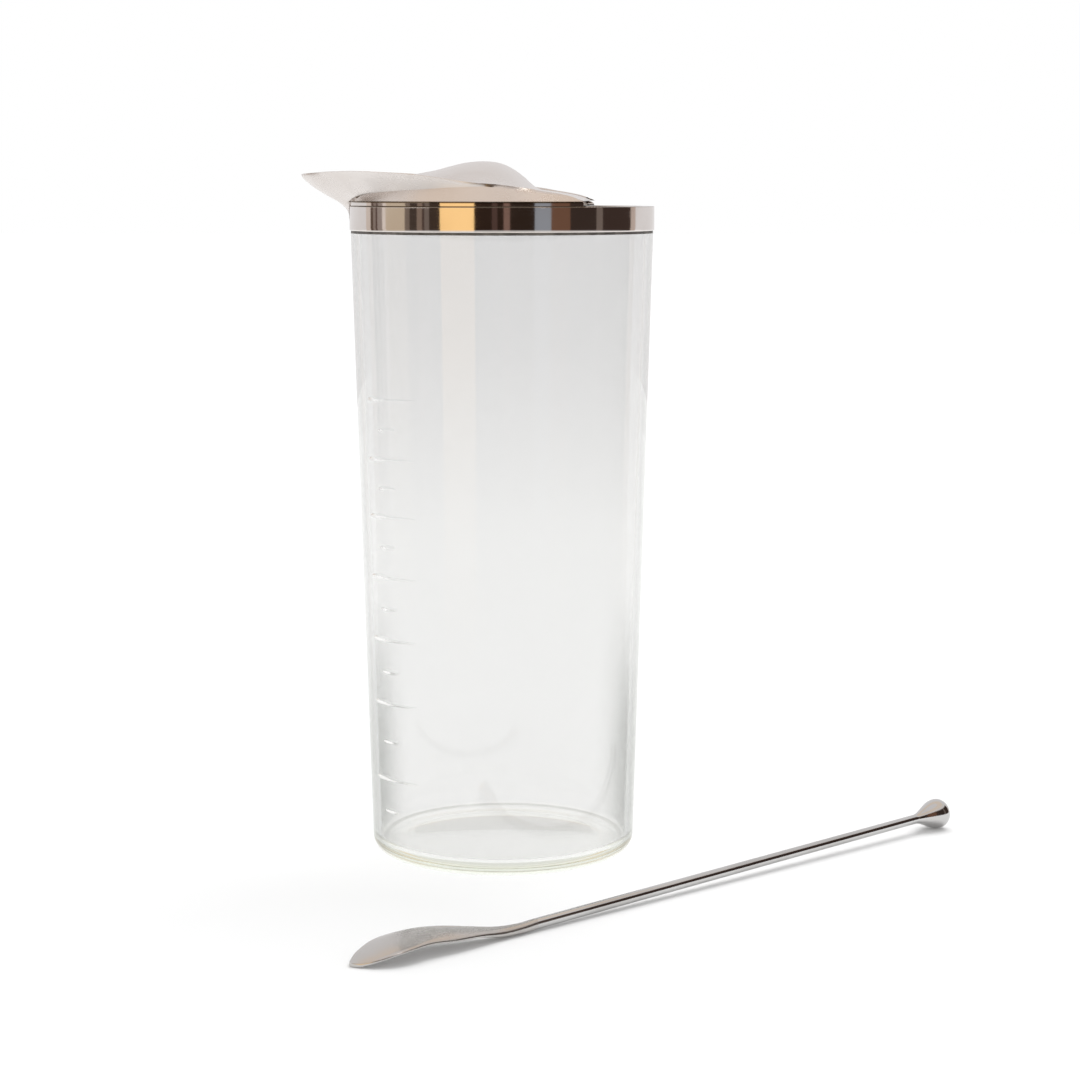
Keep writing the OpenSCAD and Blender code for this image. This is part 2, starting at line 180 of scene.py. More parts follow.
@dataclass
class Draft:
    """Points and faces of a piece while it is made, in millimetres."""

    points: list[Point] = field(default_factory=list)
    faces: list[tuple[int, ...]] = field(default_factory=list)
    creases: set[frozenset[int]] = field(default_factory=set)

    def row(self, points: Iterable[Point]) -> list[int]:
        """Adds a row of points.

        Args:
            points: the points.

        Returns:
            Their numbers.
        """
        first = len(self.points)
        self.points.extend(points)
        return list(range(first, len(self.points)))

    def face(self, corners: Iterable[int]) -> None:
        """Adds a face, unless its corners fall together on a pole.

        Args:
            corners: the numbers of its points.
        """
        kept = tuple(dict.fromkeys(corners))
        if len(kept) > 2:
            self.faces.append(kept)

    def bridge(self, low: list[int], high: list[int], closed: bool = True) -> None:
        """Joins two rows of the same length by quads.

        Args:
            low: the first row.
            high: the second row.
            closed: whether each row runs round to its first point.
        """
        count = len(low)
        for k in range(count if closed else count - 1):
            after = (k + 1) % count
            self.face((low[k], low[after], high[after], high[k]))

    def seal(self, loop: list[int]) -> None:
        """Closes a flat loop by quads between its two sides.

        Args:
            loop: the loop's points.
        """
        count = len(loop)
        for k in range(count // 2):
            self.face((loop[k], loop[k + 1], loop[count - 2 - k], loop[count - 1 - k]))

    def turn(self, section: Section, angles: list[float]) -> None:
        """Turns a closed section round the Z axis.

        Args:
            section: radius and height of each point.
            angles: directions of the columns, all the way round.
        """
        rows = []
        for radius, height in section:
            rows.append(self.row([(radius * cosd(a), radius * sind(a), height) for a in angles]))
        for low, high in zip(rows, rows[1:] + rows[:1]):
            self.bridge(low, high)

    def loft(self, loops: list[list[Point]]) -> None:
        """Joins closed loops of points in order and closes the first and the last.

        Args:
            loops: the loops, each with as many points as the others.
        """
        rows = [self.row(loop) for loop in loops]
        for low, high in zip(rows, rows[1:]):
            self.bridge(low, high)
        self.seal(rows[0])
        self.seal(rows[-1])

    def build(self, name: str, sharp: float = 35.0) -> bpy.types.Object:
        """Makes the Blender object of the piece.

        Args:
            name: the object's name.
            sharp: angle in degrees from which an edge stays sharp.

        Returns:
            The object, smooth but for its sharp edges, in metres.
        """
        mesh = bpy.data.meshes.new(name)
        mesh.from_pydata([tuple(c * MM for c in p) for p in self.points], [], self.faces)
        work = bmesh.new()
        work.from_mesh(mesh)
        bmesh.ops.recalc_face_normals(work, faces=work.faces)
        limit = math.radians(sharp)
        for face in work.faces:
            face.smooth = True
        for edge in work.edges:
            edge.smooth = len(edge.link_faces) != 2 or edge.calc_face_angle(0.0) < limit
            if frozenset(v.index for v in edge.verts) in self.creases:
                edge.smooth = False
        work.to_mesh(mesh)
        work.free()
        mesh.validate()
        piece = bpy.data.objects.new(name, mesh)
        bpy.context.scene.collection.objects.link(piece)
        return piece


@dataclass
class Wiring:
    """Places shader nodes in one tree and wires them."""

    tree: bpy.types.NodeTree

    def add(self, kind: str, **values: object) -> bpy.types.Node:
        """Adds a node.

        Args:
            kind: the node's type.
            values: properties of the node, by name.

        Returns:
            The new node.
        """
        node = self.tree.nodes.new(kind)
        for name, value in values.items():
            setattr(node, name, value)
        return node

    def join(self, out: bpy.types.NodeSocket, into: bpy.types.NodeSocket) -> None:
        """Wires one socket to another."""
        self.tree.links.new(out, into)

    def maths(self, operation: str, *terms: object) -> bpy.types.NodeSocket:
        """Adds a Math node.

        Args:
            operation: what the node does.
            terms: its inputs, each a number or a socket.

        Returns:
            The node's output.
        """
        node = self.add("ShaderNodeMath", operation=operation)
        for socket, term in zip(node.inputs, terms):
            if isinstance(term, bpy.types.NodeSocket):
                self.join(term, socket)
            else:
                socket.default_value = term
        return node.outputs[0]

    def noise(
        self, vector: bpy.types.NodeSocket, scale: object, detail: float
    ) -> bpy.types.NodeSocket:
        """Adds a noise texture.

        Args:
            vector: the place that it reads.
            scale: its scale, a number or a socket.
            detail: its detail.

        Returns:
            The value of the noise.
        """
        node = self.add("ShaderNodeTexNoise")
        self.join(vector, node.inputs["Vector"])
        if isinstance(scale, bpy.types.NodeSocket):
            self.join(scale, node.inputs["Scale"])
        else:
            node.inputs["Scale"].default_value = scale
        node.inputs["Detail"].default_value = detail
        return node.outputs[0]

    def spread(self, value: bpy.types.NodeSocket, low: float, high: float) -> bpy.types.NodeSocket:
        """Stretches a value smoothly and holds it between 0 and 1.

        Args:
            value: the value.
            low: the value that becomes 0.
            high: the value that becomes 1.

        Returns:
            The stretched value.
        """
        node = self.add("ShaderNodeMapRange", interpolation_type="SMOOTHSTEP")
        self.join(value, node.inputs["Value"])
        node.inputs["From Min"].default_value = low
        node.inputs["From Max"].default_value = high
        return node.outputs[0]

    def parts(self, place: bpy.types.NodeSocket) -> bpy.types.Node:
        """Splits a place or a direction into X, Y and Z.

        Args:
            place: the place or direction.

        Returns:
            The node with the three outputs.
        """
        split = self.add("ShaderNodeSeparateXYZ")
        self.join(place, split.inputs[0])
        return split

    def radius(self, split: bpy.types.Node) -> bpy.types.NodeSocket:
        """Distance of a split place from the Z axis."""
        x, y = split.outputs["X"], split.outputs["Y"]
        return self.maths("SQRT", self.maths("MULTIPLY_ADD", y, y, self.maths("MULTIPLY", x, x)))

    def mixed(
        self, share: bpy.types.NodeSocket, tone: object, other: object
    ) -> bpy.types.NodeSocket:
        """Mixes two colours.

        Args:
            share: the share of the other colour.
            tone: the first colour, a socket or three numbers.
            other: the other colour, a socket or three numbers.

        Returns:
            The mixed colour.
        """
        mix = self.add("ShaderNodeMix", data_type="RGBA")
        self.join(share, mix.inputs["Factor"])
        for socket, colour in ((mix.inputs[6], tone), (mix.inputs[7], other)):
            if isinstance(colour, bpy.types.NodeSocket):
                self.join(colour, socket)
            else:
                socket.default_value = (*colour, 1.0)
        return mix.outputs[2]

    def relief(
        self, shader: bpy.types.Node, height: bpy.types.NodeSocket, distance: float
    ) -> None:
        """Lets a height shape the normal of a shader.

        Args:
            shader: the shader.
            height: the height.
            distance: metres that a height of 1 stands for.
        """
        bump = self.add("ShaderNodeBump")
        bump.inputs["Distance"].default_value = distance
        self.join(height, bump.inputs["Height"])
        self.join(bump.outputs["Normal"], shader.inputs["Normal"])


@dataclass(frozen=True)
class GroupSocket:
    """A named input or output of a shader node group."""

    name: str
    kind: str
    value: object = None


class SharedEffects:
    """Shader node groups that more than one finish uses, each built once."""

    def __init__(self) -> None:
        """Builds the groups."""
        self.lines = self._polishing_lines()
        self.haze = self._handling_haze()
        self.tone = self._tone_drift()

    def _start(self, name: str, inputs: list[GroupSocket], outputs: list[GroupSocket]) -> tuple:
        """Starts a group.

        Args:
            name: the group's name.
            inputs: its named inputs.
            outputs: its named outputs.

        Returns:
            The tree, its wiring, its input node and its output node.
        """
        tree = bpy.data.node_groups.new(name, "ShaderNodeTree")
        for direction, sockets in (("INPUT", inputs), ("OUTPUT", outputs)):
            for socket in sockets:
                made = tree.interface.new_socket(
                    socket.name, in_out=direction, socket_type=socket.kind
                )
                if socket.value is not None:
                    made.default_value = socket.value
        wiring = Wiring(tree)
        return tree, wiring, wiring.add("NodeGroupInput"), wiring.add("NodeGroupOutput")

    def _polishing_lines(self) -> bpy.types.NodeTree:
        """Fine lines left by the polishing wheel, with a few deeper hairlines among them.

        Returns:
            A group from a stretched place to a height and a haze.
        """
        tree, w, start, end = self._start(
            "polishing_lines",
            [
                GroupSocket("Vector", "NodeSocketVector"),
                GroupSocket("Scale", "NodeSocketFloat", 1.0),
                GroupSocket("Depth", "NodeSocketFloat", 1.0),
            ],
            [GroupSocket("Height", "NodeSocketFloat"), GroupSocket("Haze", "NodeSocketFloat")],
        )
        coarse_share, hairline_depth, hairline_haze = 0.31, -0.6, 0.5
        fine = w.noise(start.outputs["Vector"], start.outputs["Scale"], 3.0)
        coarse_scale = w.maths("MULTIPLY", start.outputs["Scale"], coarse_share)
        coarse = w.noise(start.outputs["Vector"], coarse_scale, 2.0)
        hairline = w.spread(coarse, 0.66, 0.74)
        height = w.maths("MULTIPLY_ADD", hairline, hairline_depth, fine)
        haze = w.maths("MULTIPLY_ADD", hairline, hairline_haze, w.spread(fine, 0.35, 0.7))
        w.join(w.maths("MULTIPLY", height, start.outputs["Depth"]), end.inputs["Height"])
        w.join(haze, end.inputs["Haze"])
        return tree

    def _handling_haze(self) -> bpy.types.NodeTree:
        """Faint smears of handling and wiping, in patches with soft edges.

        Returns:
            A group from a place to a mask and a roughness.
        """
        tree, w, start, end = self._start(
            "handling_haze",
            [
                GroupSocket("Vector", "NodeSocketVector"),
                GroupSocket("Scale", "NodeSocketFloat", 20.0),
                GroupSocket("Clean", "NodeSocketFloat", 0.03),
                GroupSocket("Smeared", "NodeSocketFloat", 0.12),
            ],
            [GroupSocket("Mask", "NodeSocketFloat"), GroupSocket("Roughness", "NodeSocketFloat")],
        )
        grain_share = 7.0
        patch = w.spread(w.noise(start.outputs["Vector"], start.outputs["Scale"], 3.0), 0.48, 0.7)
        grain_scale = w.maths("MULTIPLY", start.outputs["Scale"], grain_share)
        grain = w.noise(start.outputs["Vector"], grain_scale, 5.0)
        mask = w.maths("MULTIPLY", patch, w.spread(grain, 0.3, 0.75))
        gap = w.maths("SUBTRACT", start.outputs["Smeared"], start.outputs["Clean"])
        w.join(mask, end.inputs["Mask"])
        w.join(w.maths("MULTIPLY_ADD", mask, gap, start.outputs["Clean"]), end.inputs["Roughness"])
        return tree

    def _tone_drift(self) -> bpy.types.NodeTree:
        """Slow drift between two tones of one surface.

        Returns:
            A group from a place and two tones to a colour.
        """
        tree, w, start, end = self._start(
            "tone_drift",
            [
                GroupSocket("Vector", "NodeSocketVector"),
                GroupSocket("Scale", "NodeSocketFloat", 20.0),
                GroupSocket("Tone", "NodeSocketColor", (0.8, 0.8, 0.8, 1.0)),
                GroupSocket("Other Tone", "NodeSocketColor", (0.6, 0.6, 0.6, 1.0)),
                GroupSocket("Extra", "NodeSocketFloat", 0.0),
            ],
            [GroupSocket("Colour", "NodeSocketColor")],
        )
        drift = w.spread(w.noise(start.outputs["Vector"], start.outputs["Scale"], 4.0), 0.35, 0.7)
        share = w.maths("MAXIMUM", drift, start.outputs["Extra"])
        tone = w.mixed(share, start.outputs["Tone"], start.outputs["Other Tone"])
        w.join(tone, end.inputs["Colour"])
        return tree


def place_group(wiring: Wiring, tree: bpy.types.NodeTree, **values: object) -> bpy.types.Node:
    """Puts a shared effect into a material.

    Args:
        wiring: the material's wiring.
        tree: the group.
        values: its inputs by name with underscores for spaces, each a value or a socket.

    Returns:
        The group's node.
    """
    node = wiring.add("ShaderNodeGroup", node_tree=tree)
    for name, value in values.items():
        socket = node.inputs[name.replace("_", " ")]
        if isinstance(value, bpy.types.NodeSocket):
            wiring.join(value, socket)
        else:
            socket.default_value = value
    return node


@dataclass(frozen=True)
class Finish:
    """Name and start that every finish of the pitcher shares."""

    name: str

    def start(self) -> tuple[bpy.types.Material, Wiring, bpy.types.Node]:
        """Starts the finish's material.

        Returns:
            The material, its wiring and its shader.
        """
        material = bpy.data.materials.new(self.name)
        material.use_nodes = True
        shader = material.node_tree.nodes["Principled BSDF"]
        return material, Wiring(material.node_tree), shader


@dataclass(frozen=True)
class ClearGlass(Finish):
    """Blown clear glass: faint tint, painted shade that greys it towards the top, slow waves in the
    wall and a trace of smears.

    Its places are in metres. The rim and edge tones are painted shade where the wall is seen edge
    on, the level tone is for its flat faces, and the corner tone is a painted dark line of shade
    where the bottom meets the wall inside.
    """

    # top is painted shade: the glass greys from the foot tone at clear_z to the top tone at grey_z.
    top: Colour = (0.812, 0.809, 0.812)
    foot: Colour = (0.935, 0.936, 0.931)
    ior: float = 1.5
    gloss: float = 0.22
    clear_z: float = 0.03
    grey_z: float = 0.22
    shade: Colour = (0.985, 0.985, 0.985)
    wave_scale: float = 9.0
    wave_depth: float = 0.00012
    clean: float = 0.0
    smeared: float = 0.02
    smear_scale: float = 26.0
    body_tint: Colour = (0.72, 0.82, 0.5)
    tint_density: float = 4.0
    level: Colour = (0.985, 0.985, 0.98)
    level_span: Span = (0.5, 0.75)
    upright_span: Span = (0.5, 0.2)
    most_bounces: int = 2
    # edge and rim are painted shade greying the wall where it is seen edge on.
    edge: Colour = (0.22, 0.23, 0.21)
    edge_span: Span = (0.3, 0.9)
    edge_z: float = 0.1
    rim: Colour = (0.5, 0.5, 0.495)
    rim_span: Span = (0.58, 0.78)
    outer_r: float = 0.0456
    taper: float = 0.0287
    half_wall: float = 0.0014
    # The corner sizes and tone give a painted dark line of shade where the bottom meets the wall
    # inside.
    corner_z: float = 0.0054
    corner_reach: float = 0.0005
    corner_shade: Colour = (0.6, 0.6, 0.57)
    corner_span: Span = (0.35, 0.6)

    def make(self, effects: SharedEffects) -> bpy.types.Material:
        """Builds the material.

        Args:
            effects: the shared node groups.

        Returns:
            The finished material.
        """
        material, w, shader = self.start()
        place = w.add("ShaderNodeTexCoord").outputs["Object"]
        split = w.parts(place)
        # Painted shade: the glass's tone greys from the foot towards the top.
        rise = w.spread(split.outputs["Z"], self.clear_z, self.grey_z)
        tone = place_group(
            w,
            effects.tone,
            Vector=place,
            Scale=0.0,
            Tone=(*self.foot, 1.0),
            Other_Tone=(*self.top, 1.0),
            Extra=rise,
        )
        haze = place_group(
            w,
            effects.haze,
            Vector=place,
            Scale=self.smear_scale,
            Clean=self.clean,
            Smeared=self.smeared,
        )
        w.join(self._edges(w, tone.outputs["Colour"], split), shader.inputs["Base Color"])
        w.join(haze.outputs["Roughness"], shader.inputs["Roughness"])
        shader.inputs["IOR"].default_value = self.ior
        shader.inputs["Transmission Weight"].default_value = 1.0
        shader.inputs["Specular IOR Level"].default_value = self.gloss
        w.relief(shader, w.noise(place, self.wave_scale, 0.0), self.wave_depth)
        body = w.add("ShaderNodeVolumeAbsorption")
        body.inputs["Color"].default_value = (*self.body_tint, 1.0)
        body.inputs["Density"].default_value = self.tint_density
        end = material.node_tree.nodes["Material Output"]
        w.join(body.outputs["Volume"], end.inputs["Volume"])
        soft = w.add("ShaderNodeBsdfTransparent")
        soft.inputs["Color"].default_value = (*self.shade, 1.0)
        mix = w.add("ShaderNodeMixShader")
        path = w.add("ShaderNodeLightPath")
        deep = w.maths("GREATER_THAN", path.outputs["Glossy Depth"], self.most_bounces + 0.5)
        w.join(w.maths("MAXIMUM", path.outputs["Is Shadow Ray"], deep), mix.inputs["Fac"])
        w.join(shader.outputs["BSDF"], mix.inputs[1])
        w.join(soft.outputs["BSDF"], mix.inputs[2])
        w.join(mix.outputs["Shader"], end.inputs["Surface"])
        return material

    def _edges(
        self, w: Wiring, tone: bpy.types.NodeSocket, place: bpy.types.Node
    ) -> bpy.types.NodeSocket:
        """Paints shade on the wall where it is seen edge on, most of all low down, and a dark line
        of painted shade in the corner inside.

        Args:
            w: the material's wiring.
            tone: the glass's own tone.
            place: the node that splits the place on the glass, in metres.

        Returns:
            The tone with its painted edge shade.
        """
        height = place.outputs["Z"]
        weight = w.add("ShaderNodeLayerWeight")
        weight.inputs["Blend"].default_value = 0.5
        facing = weight.outputs["Facing"]
        normal = w.parts(w.add("ShaderNodeNewGeometry").outputs["Normal"])
        tilt = w.maths("ABSOLUTE", normal.outputs["Z"])
        upright = w.spread(tilt, *self.upright_span)
        # Flat faces take the near-clear level tone instead of the painted grey.
        tone = w.mixed(w.spread(tilt, *self.level_span), tone, self.level)
        straight = w.maths("MULTIPLY_ADD", height, -self.taper, w.radius(place))
        outside = w.maths("GREATER_THAN", straight, self.outer_r - self.half_wall)
        # Painted shade on the outside of the wall where it is seen edge on.
        rim = w.maths("MULTIPLY", w.spread(facing, *self.rim_span), outside)
        tone = w.mixed(w.maths("MULTIPLY", rim, upright), tone, self.rim)
        # Painted shade on steep faces of the wall, strongest low down.
        steep = w.maths("MULTIPLY", w.spread(facing, *self.edge_span), upright)
        low = w.spread(height, self.edge_z, self.edge_z / 3)
        tone = w.mixed(w.maths("MULTIPLY", steep, low), tone, self.edge)
        # Painted shade: a dark line in the inner corner at corner_z.
        away = w.maths("ABSOLUTE", w.maths("SUBTRACT", height, self.corner_z))
        near = w.spread(away, self.corner_reach, self.corner_reach / 3)
        ring = w.maths("MULTIPLY", near, w.spread(tilt, *self.corner_span))
        return w.mixed(ring, tone, self.corner_shade)


@dataclass(frozen=True)
class PolishedMetal(Finish):
    """Polished metal: bright, with wheel lines, smears and a slow drift of tone.

    A seam is its height and its reach, in metres, and puts painted shade on the metal within seam_r
    of the axis.
    """

    tone: Colour = (0.715, 0.675, 0.65)
    aged_tone: Colour = (0.66, 0.61, 0.575)
    drift_scale: float = 30.0
    flow: Flow = Flow.ROUND
    along: float = 0.0
    line_scale: float = 9.0
    line_depth: float = 0.0000015
    line_haze: float = 0.03
    line_pitch: float = 260.0
    wave_scale: float = 35.0
    wave_depth: float = 0.00004
    clean: float = 0.05
    smeared: float = 0.13
    smear_scale: float = 42.0
    # Colour of the painted shade along the seams between the pieces.
    seam_shade: Colour = (0.2, 0.15, 0.1)
    seams: tuple[Span, ...] = ()
    seam_core: float = 0.4
    seam_r: float = 0.05215

    def make(self, effects: SharedEffects) -> bpy.types.Material:
        """Builds the material.

        Args:
            effects: the shared node groups.

        Returns:
            The finished material.
        """
        material, w, shader = self.start()
        place = w.add("ShaderNodeTexCoord").outputs["Object"]
        flow = self._flow(w, place)
        lines = place_group(
            w, effects.lines, Vector=flow, Scale=self.line_scale, Depth=self.line_depth
        )
        haze = place_group(
            w,
            effects.haze,
            Vector=place,
            Scale=self.smear_scale,
            Clean=self.clean,
            Smeared=self.smeared,
        )
        tone = place_group(
            w,
            effects.tone,
            Vector=place,
            Scale=self.drift_scale,
            Tone=(*self.tone, 1.0),
            Other_Tone=(*self.aged_tone, 1.0),
            Extra=0.0,
        )
        w.join(self._seams(w, place, tone.outputs["Colour"]), shader.inputs["Base Color"])
        shader.inputs["Metallic"].default_value = 1.0
        more = w.maths("MULTIPLY", lines.outputs["Haze"], self.line_haze)
        w.join(w.maths("ADD", more, haze.outputs["Roughness"]), shader.inputs["Roughness"])
        wave = w.noise(place, self.wave_scale, 1.0)
        height = w.maths("MULTIPLY_ADD", wave, self.wave_depth, lines.outputs["Height"])
        w.relief(shader, height, 1.0)
        return material

    def _seams(
        self, w: Wiring, place: bpy.types.NodeSocket, tone: bpy.types.NodeSocket
    ) -> bpy.types.NodeSocket:
        """Paints shade on the metal beside the level seams between the pieces.

        Args:
            w: the material's wiring.
            place: the place on the piece, in metres.
            tone: the metal's own tone.

        Returns:
            The tone with its painted seam shade.
        """
        if not self.seams:
            return tone
        split = w.parts(place)
        mask = 0.0
        for height, reach in self.seams:
            away = w.maths("ABSOLUTE", w.maths("SUBTRACT", split.outputs["Z"], height))
            mask = w.maths("MAXIMUM", mask, w.spread(away, reach, reach * self.seam_core))
        inside = w.maths("LESS_THAN", w.radius(split), self.seam_r)
        # Painted shade along the seams, inside seam_r.
        return w.mixed(w.maths("MULTIPLY", mask, inside), tone, self.seam_shade)

    def _flow(self, w: Wiring, place: bpy.types.NodeSocket) -> bpy.types.NodeSocket:
        """Stretches the place along the polishing lines.

        Args:
            w: the material's wiring.
            place: the place on the piece, in metres.

        Returns:
            A place that changes slowly along the lines and fast across them.
        """
        mapping = w.add("ShaderNodeMapping")
        if self.flow is Flow.ALONG:
            turn = w.add("ShaderNodeVectorRotate", rotation_type="Z_AXIS")
            w.join(place, turn.inputs["Vector"])
            turn.inputs["Angle"].default_value = -math.radians(self.along)
            w.join(turn.outputs[0], mapping.inputs["Vector"])
            mapping.inputs["Scale"].default_value = (4.0, self.line_pitch, self.line_pitch)
            return mapping.outputs[0]
        split = w.parts(place)
        polar = w.add("ShaderNodeCombineXYZ")
        w.join(w.maths("ARCTAN2", split.outputs["Y"], split.outputs["X"]), polar.inputs["X"])
        w.join(w.radius(split), polar.inputs["Y"])
        w.join(split.outputs["Z"], polar.inputs["Z"])
        w.join(polar.outputs[0], mapping.inputs["Vector"])
        mapping.inputs["Scale"].default_value = (0.5, self.line_pitch, self.line_pitch)
        return mapping.outputs[0]


@dataclass(frozen=True)
class RimCement(Finish):
    """Dark grey cement under the collar: matte, grainy and slightly uneven."""

    tone: Colour = (0.06, 0.052, 0.045)
    pale_tone: Colour = (0.16, 0.14, 0.12)
    drift_scale: float = 220.0
    smear_scale: float = 300.0
    clean: float = 0.55
    smeared: float = 0.8
    grain_scale: float = 900.0
    grain_depth: float = 0.00008

    def make(self, effects: SharedEffects) -> bpy.types.Material:
        """Builds the material.

        Args:
            effects: the shared node groups.

        Returns:
            The finished material.
        """
        material, w, shader = self.start()
        place = w.add("ShaderNodeTexCoord").outputs["Object"]
        tone = place_group(
            w,
            effects.tone,
            Vector=place,
            Scale=self.drift_scale,
            Tone=(*self.tone, 1.0),
            Other_Tone=(*self.pale_tone, 1.0),
            Extra=0.0,
        )
        haze = place_group(
            w,
            effects.haze,
            Vector=place,
            Scale=self.smear_scale,
            Clean=self.clean,
            Smeared=self.smeared,
        )
        w.join(tone.outputs["Colour"], shader.inputs["Base Color"])
        w.join(haze.outputs["Roughness"], shader.inputs["Roughness"])
        w.relief(shader, w.noise(place, self.grain_scale, 4.0), self.grain_depth)
        return material


def settle(
    piece: bpy.types.Object, body: Body, slot: Slot, material: bpy.types.Material, *nodes: str
) -> bpy.types.Object:
    """Dresses a piece and says what it rides on and stands for.

    Args:
        piece: the piece.
        body: the body that it rides on.
        slot: not used.
        material: its finish.
        nodes: the solids that it stands for.

    Returns:
        The same piece.
    """
    piece.data.materials.clear()
    piece.data.materials.append(material)
    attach(piece, body.value)
    if nodes:
        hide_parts(*nodes)
    LOG.info("%s: %d faces, rides on %s", piece.name, len(piece.data.polygons), body.value)
    return piece


def redress(frame: dict, node: str, material: bpy.types.Material) -> None:
    """Gives a finish to a solid of the frame that keeps its own shape.

    Args:
        frame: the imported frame.
        node: the solid's name.
        material: its finish.
    """
    solid = frame["nodes"][node]
    solid.data.materials.clear()
    solid.data.materials.append(material)
    LOG.info("%s: kept from the frame, with %s", node, material.name)


@dataclass(frozen=True)
class WheelCut:
    """One wheel-cut stroke in the wall of the glass.

    The stroke lies at height z and direction turn, and runs out at both ends.
    """

    z: float
    turn: float
    length: float
    depth: float
    width: float
    wall_r: float
    slant: float

    def across(self, angle: float, height: float) -> tuple[float, float]:
        """Place of a point of the wall beside the stroke.

        Args:
            angle: the point's direction.
            height: its height.

        Returns:
            Its distance along the stroke and its distance across it.
        """
        along = self.wall_r * sind(angle - self.turn)
        rise = height - self.z
        return (
            along * cosd(self.slant) + rise * sind(self.slant),
            rise * cosd(self.slant) - along * sind(self.slant),
        )

    def bite(self, angle: float, height: float) -> float:
        """How deep the stroke cuts into the wall at a point.

        Args:
            angle: the point's direction.
            height: its height.

        Returns:
            The depth there, 0 outside the stroke.
        """
        along, across = self.across(angle, height)
        if abs(along) > self.length or abs(across) > self.width:
            return 0.0
        ends = self.depth * (1 - (2 * along / self.length) ** 4)
        return max(0.0, ends - 2 * self.depth * abs(across) / self.width)


